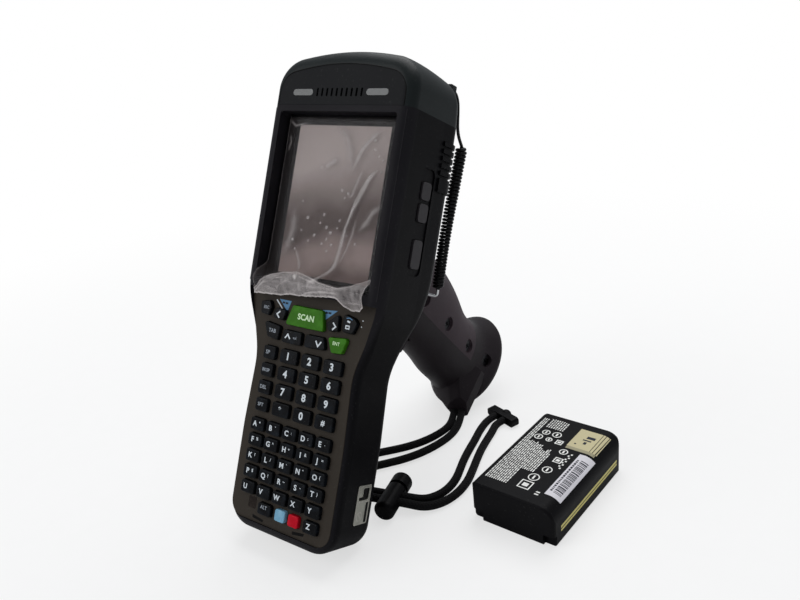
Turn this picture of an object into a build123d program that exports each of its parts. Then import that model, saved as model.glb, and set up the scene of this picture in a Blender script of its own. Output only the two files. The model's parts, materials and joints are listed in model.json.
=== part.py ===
"""Portable barcode data terminal on a pistol grip, with its loose battery, wrist lanyard and coiled stylus tether.

The terminal leans back on its heel and on the flared foot of its grip. Millimetres, +Z up. The origin is the middle of
the flat on the heel, on the surface that the terminal stands on.
"""

from build123d import *
from math import cos, pi, radians, sin, sqrt, tan
import os

os.makedirs("parts", exist_ok=True)

# ---------------------------------------------------------------- driving dimensions
fit = 0.1  # around pieces that seat in a pocket
gap = 0.25  # around pieces that move
wall = 2.2  # shell wall

lean = 26.0  # the terminal's lean from upright

# The body in its own directions: across (right), along (up the face) and out (from the key tops, towards the user).
keypad_half = 33.2  # half widths
waist_half = 31.6
head_half = 41.0
straight_along = 50.0
waist_along = 84.0
shoulder_along = 114.0
head_long = 112.0  # sides of the head, up to its arched top
corner_along = shoulder_along + head_long
crown = 4.8  # rise of the arched top over that
heel_corner = 13.0  # outline radii
straight_radius = 150.0
waist_radius = 35.0
shoulder_radius = 45.0
head_corner = 15.0
crown_radius = 200.0
step_low = shoulder_along - 18.0  # where the front steps up to the head, and the back swells out to it
step_high = shoulder_along + 4.0
step_radius = 60.0
swell_low = shoulder_along - 14.0
swell_high = shoulder_along + 14.0
swell_radius = 40.0
cap_radius = 30.0
head_front = 2.5  # depths, outwards from the key tops
keypad_front = -1.0
keypad_back = -32.5
head_back = -41.5
crown_back = -37.0
front_edge = 6.0  # rounding of the front and the back edge
back_edge = 6.5
parting = -27.0  # between the front and the rear housing
cap_long = 21.3  # sides of the head cap
cap_along = corner_along - cap_long  # between the housings and the head cap

heel_flat = 0.25  # cut from the heel where it rests
foot_flat = 0.6  # cut from the foot where it rests

# display
recess_half = 34.5
recess_high = cap_along - 3.0
recess_low = shoulder_along + 7.0
glass_out = -4.0
glass_thick = 1.2
module_half = 30.2
module_low = recess_low + 1.6
module_high = recess_high - 2.3
module_thick = 4.4
bulkhead_half = 38.8
bulkhead_along = (recess_low - 2.0, cap_along - 1.2)
recess_corner = 1.5
film_thick = 0.8
film_half = 33.8
film_path = [
    (recess_high - 1.2, -3.2),
    (recess_low + 10.0, -3.2),
    (recess_low + 3.5, 4.4),
    (recess_low - 2.0, 5.0),
    (recess_low - 8.5, 3.4),
]
film_bends = [6.0, 4.0, 6.0]

# keypad
plate_rim = 2.2
plate_low = 4.8
plate_high = shoulder_along + 2.2
plate_out = -2.0
plate_thick = 1.2
deck_ledge = 1.6
deck_thick = 1.4
key_radius = 1.1
key_lip = 0.6
lip_thick = 0.7
key_travel = 0.7
key_room = 0.2
key_round = 0.45
plate_corner = 7.0
board_inset = 1.2
mat_inset = 1.1
mat_thick = 1.4
board_thick = 1.2
chip_half = 6.0
chip_low = waist_along + 10.0
chip_thick = 3.0
digit_size = (10.6, 6.5)
digit_pitch = (13.38, 8.49)
digit_first = (-7.7, 86.0)
function_size = (7.6, 6.3)
function_across = -20.0
letter_size = (8.6, 5.9)
letter_pitch = (10.25, 7.66)
letter_first = (-20.6, 50.9)
colour_size = (6.2, 5.6)
bottom_size = (8.3, 5.6)
bottom_row = {"alt": (-8.1, 12.6), "blue": (2.0, 12.6), "red": (10.3, 12.6), "z": (20.5, 12.6)}

# battery, and the bay that holds it
battery_long = 73.3
battery_wide = 44.7
battery_high = 21.1
battery_place = (66.6, 44.7)
battery_turn = 86.3
end_cap_long = 6.0
battery_rounds = [1.5, 2.5, 8.0, 1.5]
battery_plan_rounds = [2.2, 5.0, 5.0, 2.2]  # seen from above, from the near left corner
contact_depth = 1.0
contact_sunk = 0.3
contact_size = (3.2, 5.0)
contact_pitch = 6.0
contact_count = 4
notch_places = (3.0, 41.7)
notch_size = (6.0, 6.0, 2.5)
bay_room = 0.3
bay_wall = 2.0
bay_low = 12.2
door_half = 25.0
door_low = 7.6
door_high = 91.5
door_thick = 1.8
ledge_wide = 3.2
ledge_low = 3.5
ledge_out = (-31.5, -28.3)
hinge_radius = 1.4
trunnion_radius = 0.9
trunnion_fit = 0.05
trunnion_long = 1.6
latch_size = (16.0, 8.0)
latch_along = 84.0
latch_travel = 2.5
latch_thick = 1.0
latch_rail = 0.4
latch_ridges = 4
latch_ridge_pitch = 1.6

# side buttons and the side plate, on the right flank
button_out = -19.9
button_deep = 7.8
button_proud = 0.3
button_travel = 0.8
button_spans = {
    "upper": (cap_along - 37.5, cap_along - 28.9),
    "middle": (cap_along - 47.7, cap_along - 38.8),
    "lower": (cap_along - 69.1, cap_along - 55.4),
}
channel_depth = 0.6
channel_margin = 3.0
channel_corner = 3.0
button_corner = 2.0
button_lip_thick = 0.8
port_size = (18.6, 10.2)
port_place = (24.2, -20.5)
port_proud = 0.25
port_thick = 1.2
port_corner = 1.0
port_window = (5.6, 7.4)
port_window_along = 5.0
port_window_depth = 0.5

# dock connector, in the lower end
dock_half = 10.5
dock_out = (-19.5, -13.5)
dock_low = 0.6
dock_high = 7.0
dock_pins = 8
dock_pitch = 2.3
dock_pin_half = 0.6
dock_pin_depth = 3.0

# head
panel_half = 37.0
panel_high = corner_along - 2.4
panel_side = corner_along - 7.0
panel_thick = 1.8
panel_corner = 11.0
panel_arch = 2.0
panel_radius = 120.0
panel_ledge = 0.8
panel_rest = 2.0
light_along = cap_along + 5.9
light_across = 21.9
light_size = (12.2, 3.0)
light_thick = 1.2
light_proud = 0.1
speaker_radius = 5.5
speaker_along = light_along + 2.1
speaker_thick = 4.0
scan_engine_along = (cap_along + 1.3, corner_along - 7.0)
scan_engine_out = (-36.5, -21.0)
inner_crown_out = -34.0
engine_lens_across = 6.0
engine_lens = 3.6
slot_size = (1.1, 4.0)
slot_pitch = 2.9
slot_count = 10
rib_proud = 0.9
rib_wide = 2.0
rib_pitch = 3.4
rib_count = 5
rib_low = cap_along - 25.2
rib_end = 8.2
rib_front = -28.0
rib_inner = 20.0
bumper_long = 6.5
window_half = 14.0
window_deep = 13.0
window_out = -29.0

# tether lug, on the back of the head cap
tether_across = 32.2
tether_half = 2.2
tether_along = (corner_along - 6.5, corner_along + 0.3)
tether_out = -42.2
tether_eye = 0.9
tether_eye_in = 1.6

# grip: its sections, as (station from the head's back, half width, half depth, middle behind the axis)
grip_pitch = 23.0  # its axis below the square to the body's back
grip_long = 128.0  # from the head's back to the foot's end
grip_sections = [
    (-20.0, 17.0, 28.0, 3.0),
    (0.0, 17.0, 28.0, 3.0),
    (20.0, 17.0, 27.5, 3.0),
    (40.0, 16.8, 26.7, 3.2),
    (60.0, 16.4, 25.6, 2.9),
    (80.0, 16.1, 23.9, -0.4),
    (97.0, 16.0, 22.6, -3.0),
    (108.0, 16.8, 23.0, -3.0),
    (115.0, 18.2, 24.7, -2.4),
    (121.0, 20.6, 27.6, -1.0),
    (126.0, 23.0, 30.5, 0.0),
]
foot_half = grip_sections[-1][2]
grip_wall = 2.4
seam_forward = 6.5  # the seam between the shells, forward of the axis
foot_joint = 104.0  # from here on the front shell runs all the way round
foot_cover = 2.0
screw_forward = 0.3
screw_stations = (35.2, 66.2, 96.9)
foot_screw_station = 117.5
well_mouth = 4.1
screw_head = 3.2
screw_head_thick = 1.6
screw_shank = 1.5
screw_long = 7.0
screw_sink = 1.4
screw_slot = 0.8
boss_wall = 1.6
trigger_half = 7.5
trigger_pivot = (18.0, 15.5)
trigger_boss = 4.0
trigger_window = (13.6, 48.6)
trigger_corners = [
    (14.2, 11.5),
    (14.2, 24.0),
    (19.5, 30.0),
    (32.0, 32.0),
    (45.0, 29.5),
    (47.2, 22.5),
    (46.0, 18.5),
    (33.0, 18.0),
    (22.0, 11.5),
]
trigger_radii = [3.4, 4.0, 6.0, 12.0, 3.0, 1.5, 1.5, 6.0, 3.4]
pin_radius = 1.5
pin_half = 11.0
lug_across = 12.0
lug_half = 4.8
lug_tip = 38.0  # forward of the grip's axis
lug_meet = 35.0  # where the strands leave it
lug_stations = (115.0, 122.5)
lug_station = 118.5
lug_outline = [  # across and forward of the axis
    (19.5, 8.0),
    (lug_across + lug_half, lug_tip - 1.5),
    (lug_across + lug_half - 1.5, lug_tip),
    (lug_across - lug_half + 1.5, lug_tip),
    (lug_across - lug_half, lug_tip - 1.5),
    (-7.0, 27.0),
    (0.0, 0.0),
]
lug_root_station = 104.0
lug_root = [(13.0, 6.0), (12.0, 16.0), (11.0, 17.0), (7.0, 19.0), (5.5, 20.0), (-5.0, 21.0), (0.0, 0.0)]

# housing screws, as (across, along)
screw_across = 30.5
upper_screws = cap_along - 36.7
lower_screws = cap_along - 72.2
housing_screws = [(side * screw_across, along) for along in (upper_screws, lower_screws) for side in (-1, 1)]

# cords
strand_radius = 2.2
strand_pitch = 4.6
strand_out = (0.41, -0.9, -0.12)  # the way that the strands leave the grip
strand_run = 7.0
lead_radius = 0.8
coil_radius = 2.8
fillet_share = 0.45

tether_pin_radius = 0.8
tether_pin_end = (28.2, 0.0)  # where it meets the grip, along and forward of the grip's axis

# cord lock, lying on its side
lock_centre = (26.4, 33.4, 5.5)
lock_heading = 103.0
lock_radius = 5.4
lock_back = 12.5
lock_mouth = 5.9
lock_wall = 1.4
lock_floor = 2.0
lock_round = 2.2
lock_slot = (9.4, 4.9)  # the hole that the strands pass, along the lock and upright
plunger_head = (7.8, 15.9)
plunger_stem = 3.7
plunger_slot = 13.0
plunger_travel = 1.8
plunger_waist = 1.2

# clip at the lanyard's end
clip_centre = (38.2, 130.2, 2.6)
clip_heading = -20.3
clip_size = (22.0, 5.0, 5.0)
clip_round = 1.8
clip_dome = 3.1
clip_meet = 3.5
clip_run = 6.0

# the routes of the cords' middles; the last point of each strand is on the clip
left_route = [
    (14.9, 107.0, 2.3),
    (13.6, 97.0, 2.3),
    (9.8, 86.8, 2.3),
    (4.0, 77.8, 2.3),
    (-3.4, 69.8, 2.3),
    (-10.8, 62.2, 2.3),
    (-16.6, 53.8, 2.3),
    (-18.4, 44.4, 2.3),
    (-14.6, 36.0, 2.3),
    (-6.8, 30.4, 2.3),
    (1.8, 28.0, 3.0),
    (10.2, 27.5, 5.0),
    (18.9, 29.3, 5.5),
    (34.9, 33.0, 5.3),
    (43.2, 37.2, 2.8),
    (49.2, 45.0, 2.3),
    (51.8, 54.8, 2.3),
    (51.4, 65.4, 2.3),
    (48.9, 75.2, 2.3),
    (46.0, 84.8, 2.3),
    (43.4, 94.4, 2.3),
    (41.6, 104.2, 2.3),
    (40.2, 113.6, 2.4),
]
right_route = [
    (20.2, 106.0, 2.3),
    (20.5, 96.4, 2.3),
    (18.5, 86.4, 2.3),
    (14.8, 76.4, 2.3),
    (9.4, 67.2, 2.3),
    (2.8, 59.4, 2.3),
    (-3.6, 52.0, 2.3),
    (-7.8, 44.4, 2.3),
    (-6.2, 37.4, 2.3),
    (0.8, 33.7, 2.9),
    (9.3, 32.5, 5.0),
    (17.9, 33.8, 5.5),
    (33.9, 37.5, 5.3),
    (40.2, 42.4, 2.8),
    (44.2, 49.6, 2.3),
    (45.6, 57.8, 2.3),
    (44.6, 66.2, 2.3),
    (42.0, 74.4, 2.3),
    (39.4, 82.8, 2.3),
    (37.3, 92.2, 2.3),
    (35.4, 102.0, 2.3),
    (33.1, 111.6, 2.4),
]
# these are in the body's directions: across, along from the head's corners, and out
lead_route = [
    (32.4, -2.0, -42.2),
    (32.4, -2.0, -44.8),
    (33.5, -5.6, -46.4),
    (34.4, -10.0, -46.4),
    (34.6, -14.4, -47.2),
    (34.0, -18.6, -49.4),
    (33.5, -22.2, -52.6),
]
coil_route = [(33.5, -25.5, -57.0), (31.4, -43.0, -59.6), (28.8, -61.0, -62.6), (26.2, -80.0, -66.6), (24.0, -97.5, -71.4)]

# ---------------------------------------------------------------- directions and planes
leant = radians(lean)
ACROSS = Vector(1, 0, 0)
ALONG = Vector(0, sin(leant), cos(leant))
OUT = Vector(0, -cos(leant), sin(leant))
heel_out = keypad_back + back_edge
start = Vector(
    0,
    heel_out * cos(leant) - back_edge * sin(leant),
    back_edge - heel_flat - back_edge * cos(leant) - heel_out * sin(leant),
)


def at(across, along, out):
    """A point of the body, in the model's frame."""
    return start + ACROSS * across + ALONG * along + OUT * out


def face(out):
    """The plane parallel to the body's front: x across, y along."""
    return Plane(origin=at(0, 0, out), x_dir=ACROSS, z_dir=OUT)


def flank(across):
    """The plane parallel to the body's sides: x along, y out."""
    return Plane(origin=at(across, 0, 0), x_dir=ALONG, z_dir=ACROSS)


def section(along):
    """The plane square to the body's length: x across, y towards the back."""
    return Plane(origin=at(0, along, 0), x_dir=ACROSS, z_dir=ALONG)


def span(low, high):
    """Middle and length of a stretch."""
    return (low + high) / 2, high - low


def write(piece, label):
    """Names a finished piece and writes it."""
    piece.part.label = label
    export_step(piece.part, f"parts/{label}.step")


def trim_floor():
    """Cuts what reaches under the surface that the object stands on."""
    with BuildSketch(Plane.XY) as floor:
        Rectangle(6 * grip_long, 6 * grip_long)
    extrude(floor.sketch, amount=-grip_long, mode=Mode.SUBTRACT)


def outline(points, radius):
    """Fills a closed outline, given its corners and their radii."""
    with BuildLine() as rim:
        FilletPolyline(*points, radius=radius, close=True)
    make_face(rim.edges())


def block(across, along, out, mode=Mode.ADD, radius=0.0):
    """A block in the body's directions, between two stations each way."""
    with BuildSketch(face(out[0])) as base:
        with Locations((span(*across)[0], span(*along)[0])):
            if radius:
                RectangleRounded(span(*across)[1], span(*along)[1], radius)
            else:
                Rectangle(span(*across)[1], span(*along)[1])
    extrude(base.sketch, amount=out[1] - out[0], mode=mode)


def stretch(low, high, mode=Mode.INTERSECT):
    """The stretch of the body between two stations along it."""
    with BuildSketch(section(low)) as cut:
        Rectangle(6 * head_half, 6 * head_half)
    extrude(cut.sketch, amount=high - low, mode=mode)


def layer(low, high, mode=Mode.INTERSECT):
    """The layer of the body between two depths."""
    with BuildSketch(face(low)) as cut:
        Rectangle(4 * grip_long, 4 * grip_long)
    extrude(cut.sketch, amount=high - low, mode=mode)


# ---------------------------------------------------------------- the body's outer form
def body_outline(inset=0.0):
    """Sketches the body seen from the front, drawn in by an inset."""
    right = [
        (keypad_half, 0),
        (keypad_half, straight_along),
        (waist_half, waist_along),
        (head_half, shoulder_along),
        (head_half, corner_along),
    ]
    left = [(-x, y) for x, y in reversed(right)]
    radii = [heel_corner, straight_radius, waist_radius, shoulder_radius, head_corner]
    outline([*right, (0, corner_along + crown), *left], [*radii, crown_radius, *reversed(radii)])
    if inset:
        offset(amount=-inset)


def body_side(inset=0.0):
    """Sketches the body seen from its side, drawn in by an inset."""
    top = corner_along + 2 * crown
    corners = [
        (-crown, keypad_front - inset, 0),
        (step_low, keypad_front - inset, step_radius),
        (step_high, head_front - inset, step_radius),
        (top, head_front - inset, 0),
        (top, crown_back + inset, 0),
        (cap_along, head_back + inset, cap_radius),
        (swell_high, head_back + inset, swell_radius),
        (swell_low, keypad_back + inset, swell_radius),
        (-crown, keypad_back + inset, 0),
    ]
    outline([corner[:2] for corner in corners], [corner[2] for corner in corners])


def on_rim(edge, side):
    """Whether an edge belongs to the rounded rim of the front or of the back."""
    centre = edge @ 0.5
    if abs(centre.X) > 1:
        return True
    return not waist_along / 2 < (centre - start).dot(ALONG) < cap_along + crown


def body_form(inset=0.0):
    """The whole body as one solid with rounded rims, drawn in by an inset."""
    with BuildPart() as form:
        with BuildSketch(face(grip_long)) as front:
            body_outline(inset)
        extrude(front.sketch, amount=-2 * grip_long)
        with BuildSketch(flank(0)) as profile:
            body_side(inset)
        extrude(profile.sketch, amount=2 * head_half, both=True, mode=Mode.INTERSECT)
        for side, radius in ((1, front_edge - inset), (-1, back_edge - inset)):
            faces = form.faces().filter_by(lambda f: f.normal_at().dot(OUT) * side > 0.5)
            fillet([edge for edge in faces.edges() if on_rim(edge, side)], radius=radius)
    return form.part


outer = body_form()
inner = body_form(wall)
proud = body_form(-rib_proud)


# ---------------------------------------------------------------- outlines of the controls
def box_points(centre, size):
    """Corners of an upright rectangle."""
    (x, y), (wide, long) = centre, size
    return [
        (x - wide / 2, y - long / 2),
        (x + wide / 2, y - long / 2),
        (x + wide / 2, y + long / 2),
        (x - wide / 2, y + long / 2),
    ]


def key_grid(first, pitch, size, row, columns):
    """Outlines of one row of a block of keys."""
    return [box_points((first[0] + pitch[0] * i, first[1] - pitch[1] * row), size) for i in range(columns)]


keys = {
    "key_escape": [[(-30.3, 109.6), (-24.6, 110.6), (-22.9, 107.6), (-24.4, 103.4), (-29.4, 103.9)]],
    "key_left": [[(-19.8, 107.9), (-13.4, 107.4), (-14.6, 102.4), (-20.9, 102.8), (-21.6, 104.8)]],
    "key_scan": [[(-9.7, 110.5), (8.7, 110.5), (10.6, 101.0), (-13.0, 100.9)]],
    "key_right": [[(18.2, 110.6), (19.0, 102.6), (13.4, 102.0), (11.6, 105.5)]],
    "key_power": [[(20.9, 111.1), (27.5, 109.6), (29.2, 107.8), (27.3, 102.8), (21.3, 102.8)]],
    "key_tab": [[(-26.3, 100.6), (-15.6, 99.3), (-16.2, 92.5), (-23.1, 93.3)]],
    "key_up": [[(-13.1, 98.4), (-1.8, 98.3), (-1.6, 92.3), (-13.9, 92.3)]],
    "key_down": [[(0.7, 98.3), (11.4, 98.5), (13.2, 92.9), (0.5, 92.3)]],
    "key_enter": [[(13.8, 99.2), (25.2, 100.3), (23.0, 93.0), (16.9, 92.5)]],
    "function_keys": [
        box_points((function_across, digit_first[1] - digit_pitch[1] * row), function_size) for row in range(4)
    ],
    "digit_keys_123": key_grid(digit_first, digit_pitch, digit_size, 0, 3),
    "digit_keys_456": key_grid(digit_first, digit_pitch, digit_size, 1, 3),
    "digit_keys_789": key_grid(digit_first, digit_pitch, digit_size, 2, 3),
    "digit_keys_row0": key_grid(digit_first, digit_pitch, digit_size, 3, 3),
    "letter_keys_a_to_e": key_grid(letter_first, letter_pitch, letter_size, 0, 5),
    "letter_keys_f_to_j": key_grid(letter_first, letter_pitch, letter_size, 1, 5),
    "letter_keys_k_to_o": key_grid(letter_first, letter_pitch, letter_size, 2, 5),
    "letter_keys_p_to_t": key_grid(letter_first, letter_pitch, letter_size, 3, 5),
    "letter_keys_u_to_y": key_grid(letter_first, letter_pitch, letter_size, 4, 5),
    "bottom_keys": [box_points(bottom_row["alt"], bottom_size), box_points(bottom_row["z"], bottom_size)],
    "key_blue": [box_points(bottom_row["blue"], colour_size)],
    "key_red": [box_points(bottom_row["red"], colour_size)],
}


def plate_sketch(grow=0.0):
    """Sketches the keypad plate's outline, grown."""
    body_outline(plate_rim - grow)
    middle, long = span(plate_low - grow, plate_high + grow)
    with Locations((0, middle)):
        Rectangle(4 * head_half, long, mode=Mode.INTERSECT)
    fillet([v for v in vertices() if abs(v.Y - plate_low + grow) < 1], radius=plate_corner + grow)


def panel_sketch(grow, low):
    """Sketches the head panel's outline, grown, from a station upwards."""
    corners = [
        (panel_half, 0),
        (panel_half, panel_side),
        (0, panel_high + panel_arch),
        (-panel_half, panel_side),
        (-panel_half, 0),
    ]
    outline(corners, [0, panel_corner, panel_radius, panel_corner, 0])
    if grow:
        offset(amount=grow)
    middle, long = span(low, 2 * corner_along)
    with Locations((0, middle)):
        Rectangle(4 * head_half, long, mode=Mode.INTERSECT)


# ---------------------------------------------------------------- keypad
seat = plate_out - plate_thick

with BuildPart() as keypad_plate:
    with BuildSketch(face(seat)):
        plate_sketch()
    extrude(amount=plate_thick)
    with BuildSketch(face(seat)):
        for group in keys.values():
            for corners in group:
                outline(corners, key_radius)
        offset(amount=gap)
    extrude(amount=plate_thick, mode=Mode.SUBTRACT)
write(keypad_plate, "keypad_plate")

lip_low = seat - key_room - lip_thick
for label, group in keys.items():
    with BuildPart() as key:
        with BuildSketch(face(lip_low)):
            for corners in group:
                outline(corners, key_radius)
        extrude(amount=-lip_low)
        fillet(key.faces().filter_by(lambda f: f.normal_at().dot(OUT) > 0.9).edges(), radius=key_round)
        with BuildSketch(face(lip_low)):
            for corners in group:
                outline(corners, key_radius)
            offset(amount=key_lip)
        extrude(amount=lip_thick)
    write(key, label)

mat_top = lip_low - key_travel - key_room
with BuildPart() as keypad_mat:
    with BuildSketch(face(mat_top - mat_thick)):
        plate_sketch(-mat_inset)
    extrude(amount=mat_thick)
    with BuildSketch(face(mat_top)):
        plate_sketch(-mat_inset)
    extrude(amount=seat - deck_thick - mat_top)
    with BuildSketch(face(mat_top)):
        plate_sketch(-deck_ledge)
    extrude(amount=grip_wall, mode=Mode.SUBTRACT)
write(keypad_mat, "keypad_mat")

board_back = mat_top - mat_thick - board_thick
with BuildPart() as main_board:
    with BuildSketch(face(board_back)):
        plate_sketch(-board_inset)
    extrude(amount=board_thick)
    block((-chip_half, chip_half), (chip_low, chip_low + 2 * chip_half), (board_back - chip_thick, board_back))
write(main_board, "main_board")


# ---------------------------------------------------------------- housings
def bar(across, along, out, radius, half, mode=Mode.ADD):
    """A round bar lying across the body."""
    with BuildSketch(flank(across)) as round_section:
        with Locations((along, out)):
            Circle(radius)
    extrude(round_section.sketch, amount=half, both=True, mode=mode)


def side_block(across, centre, size, radius, mode=Mode.ADD):
    """A block with rounded corners facing the right, its middle given along and out."""
    with BuildSketch(flank(across[0])) as base:
        with Locations(centre):
            RectangleRounded(*size, radius)
    extrude(base.sketch, amount=across[1] - across[0], mode=mode)


def screw_bosses(places, boss):
    """Adds the bosses that the screws go into."""
    for place in places:
        with BuildSketch(place.offset(-fit)) as post:
            Circle(screw_head + boss_wall)
        extrude(post.sketch, amount=-boss)


def screw_wells(places, depth, boss, mouth=screw_head + fit):
    """Cuts wells for screw heads and holes for their shanks along the screws' planes."""
    for place in places:
        with BuildSketch(place.offset(screw_sink)) as rim:
            Circle(mouth)
        extrude(rim.sketch, amount=-2 * screw_sink, mode=Mode.SUBTRACT)
        with BuildSketch(place) as well:
            Circle(screw_head + fit)
        extrude(well.sketch, amount=-depth, mode=Mode.SUBTRACT)
        with BuildSketch(place) as hole:
            Circle(screw_shank)
        extrude(hole.sketch, amount=-boss, mode=Mode.SUBTRACT)


back_places = [Plane(origin=at(x, v, head_back), x_dir=ACROSS, z_dir=-OUT) for x, v in housing_screws]
back_boss = screw_sink + screw_head_thick + screw_long

bay_half = battery_wide / 2 + bay_room
bay_high = bay_low + battery_long + 3 * bay_room
bay_front = board_back - bay_wall
door_in = keypad_back + door_thick
door_space = door_in + gap
hinge_along = door_low + hinge_radius
hinge_out = keypad_back + hinge_radius
hinge_hole = trunnion_radius + trunnion_fit

with BuildPart() as ribs:
    add(proud)
    layer(rib_front - grip_long, rib_front)
    stretch(rib_low - bumper_long, cap_along - rib_end)
    block((-rib_inner, rib_inner), (0, 2 * cap_along), (-grip_long, 0), mode=Mode.SUBTRACT)
    for i in range(rib_count):
        groove = rib_low + rib_pitch * i
        block((-grip_long, grip_long), (groove, groove + rib_pitch - rib_wide), (-grip_long, 0), mode=Mode.SUBTRACT)

with BuildPart() as bay_walls:
    block(
        (-bay_half - bay_wall, bay_half + bay_wall),
        (bay_low - bay_wall, bay_high + bay_wall),
        (door_in, board_back),
    )
    block((-door_half - ledge_wide, door_half + ledge_wide), (ledge_low, door_high + ledge_wide), ledge_out)
    add(outer, mode=Mode.INTERSECT)

with BuildPart() as rear_housing:
    add(outer)
    layer(parting - grip_long, parting)
    add(ribs.part)
    add(inner, mode=Mode.SUBTRACT)
    stretch(-crown, cap_along)
    screw_bosses(back_places, back_boss)
    add(bay_walls.part)
    block((-bay_half, bay_half), (bay_low, bay_high), (-grip_long, bay_front), mode=Mode.SUBTRACT)
    block((-door_half - gap, door_half + gap), (hinge_along, door_high + gap), (-grip_long, door_space), Mode.SUBTRACT)
    bar(0, hinge_along, hinge_out, hinge_radius + gap, door_half + gap, mode=Mode.SUBTRACT)
    bar(0, hinge_along, hinge_out, hinge_hole, door_half + trunnion_long + gap, mode=Mode.SUBTRACT)
    screw_wells(back_places, screw_sink + screw_head_thick, back_boss)
    trim_floor()
write(rear_housing, "rear_housing")

button_spot = {label: (span(*ends)[0], button_out) for label, ends in button_spans.items()}
button_size = {label: (span(*ends)[1], button_deep) for label, ends in button_spans.items()}
channel_low = button_spans["lower"][0] - channel_margin
channel_high = button_spans["upper"][1] + 2 * channel_margin
with BuildPart() as skirt:
    with BuildSketch(face(seat - deck_thick)):
        plate_sketch(deck_ledge)
    extrude(amount=grip_long)
    add(outer, mode=Mode.INTERSECT)

with BuildPart() as front_housing:
    add(outer)
    layer(parting, parting + grip_long)
    add(inner, mode=Mode.SUBTRACT)
    stretch(-crown, cap_along)
    add(skirt.part)
    block((-bulkhead_half, bulkhead_half), bulkhead_along, (glass_out - glass_thick - 1, head_front - wall / 2))
    with BuildSketch(face(seat)) as pocket:
        plate_sketch(fit)
    extrude(pocket.sketch, amount=grip_long, mode=Mode.SUBTRACT)
    with BuildSketch(face(-grip_wall * 4)) as well:
        plate_sketch(-deck_ledge)
    extrude(well.sketch, amount=grip_long, mode=Mode.SUBTRACT)
    block(
        (-recess_half, recess_half),
        (recess_low, recess_high),
        (glass_out - glass_thick, grip_long),
        mode=Mode.SUBTRACT,
        radius=recess_corner,
    )
    block(
        (-module_half - fit, module_half + fit),
        (module_low - fit, module_high + fit),
        (-grip_long, glass_out),
        mode=Mode.SUBTRACT,
    )
    side_block(
        (head_half - channel_depth, grip_long),
        (span(channel_low, channel_high)[0], button_out),
        (span(channel_low, channel_high)[1], button_deep + channel_margin),
        channel_corner,
        mode=Mode.SUBTRACT,
    )
    for label, spot in button_spot.items():
        side_block((waist_half, grip_long), spot, button_size[label], button_corner, mode=Mode.SUBTRACT)
    port_room = (port_size[0] + 2 * fit, port_size[1] + 2 * fit)
    side_block(
        (keypad_half + port_proud - port_thick, head_half), port_place, port_room, port_corner, mode=Mode.SUBTRACT
    )
    block((-dock_half, dock_half), (-crown, wall * 2), dock_out, mode=Mode.SUBTRACT)
write(front_housing, "front_housing")

for label, spot in button_spot.items():
    long, deep = button_size[label]
    with BuildPart() as button:
        inside = head_half - wall - gap
        side_block(
            (inside - button_lip_thick, head_half + button_proud),
            spot,
            (long - 2 * gap, deep - 2 * gap),
            button_corner - gap,
        )
        side_block((inside - button_lip_thick, inside), spot, (long + 1, deep + 1), button_corner)
    write(button, f"side_button_{label}")

with BuildPart() as side_port_plate:
    side_block((keypad_half + port_proud - port_thick, keypad_half + port_proud), port_place, port_size, port_corner)
    side_block(
        (keypad_half - port_window_depth, keypad_half + 1),
        (port_place[0] + port_window_along, port_place[1]),
        port_window,
        port_corner,
        mode=Mode.SUBTRACT,
    )
write(side_port_plate, "side_port_plate")

with BuildPart() as dock_connector:
    block((-dock_half + fit, dock_half - fit), (dock_low, dock_high), (dock_out[0] + fit, dock_out[1] - fit))
    for i in range(dock_pins):
        spot = dock_pitch * (i - (dock_pins - 1) / 2)
        block(
            (spot - dock_pin_half, spot + dock_pin_half),
            (dock_low, dock_low + dock_pin_depth),
            (dock_out[0] + 2, dock_out[1] - 2),
            mode=Mode.SUBTRACT,
        )
write(dock_connector, "dock_connector")

# ---------------------------------------------------------------- display
with BuildPart() as touch_glass:
    block(
        (-recess_half + fit, recess_half - fit),
        (recess_low + fit, recess_high - fit),
        (glass_out - glass_thick, glass_out),
        radius=recess_corner,
    )
write(touch_glass, "touch_glass")

with BuildPart() as display_module:
    module_front = glass_out - glass_thick
    block((-module_half, module_half), (module_low, module_high), (module_front - module_thick, module_front))
write(display_module, "display_module")

with BuildPart() as protective_film:
    with BuildSketch(flank(0)):
        with BuildLine():
            upper = FilletPolyline(*film_path, radius=film_bends)
            offset(upper, amount=film_thick, side=Side.RIGHT)
        make_face()
    extrude(amount=film_half, both=True)
write(protective_film, "protective_film")

# ---------------------------------------------------------------- battery door
with BuildPart() as battery_door:
    block((-door_half, door_half), (hinge_along, door_high), (keypad_back, door_in))
    bar(0, hinge_along, hinge_out, hinge_radius, door_half)
    bar(0, hinge_along, hinge_out, trunnion_radius, door_half + trunnion_long)
    latch_half, latch_long = latch_size[0] / 2, latch_size[1]
    latch_low = latch_along - latch_long / 2
    latch_high = latch_along + latch_long / 2
    block(
        (-latch_half - gap, latch_half + gap),
        (latch_low - latch_travel - gap, latch_high + gap),
        (-grip_long, keypad_back + latch_thick + gap),
        mode=Mode.SUBTRACT,
    )
    block(
        (-latch_half - latch_rail - gap, latch_half + latch_rail + gap),
        (latch_low - latch_travel - gap, latch_high + gap),
        (keypad_back + latch_thick - latch_rail - gap, keypad_back + latch_thick + gap),
        mode=Mode.SUBTRACT,
    )
write(battery_door, "battery_door")

with BuildPart() as door_latch:
    block((-latch_half, latch_half), (latch_low, latch_high), (keypad_back, keypad_back + latch_thick))
    block(
        (-latch_half - latch_rail, latch_half + latch_rail),
        (latch_low, latch_high),
        (keypad_back + latch_thick - latch_rail, keypad_back + latch_thick),
    )
    for i in range(latch_ridges):
        ridge = latch_along + latch_ridge_pitch * (i - (latch_ridges - 1) / 2)
        block((-latch_half + 2, latch_half - 2), (ridge - 0.4, ridge + 0.4), (keypad_back - 0.5, keypad_back))
write(door_latch, "door_latch")

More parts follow.
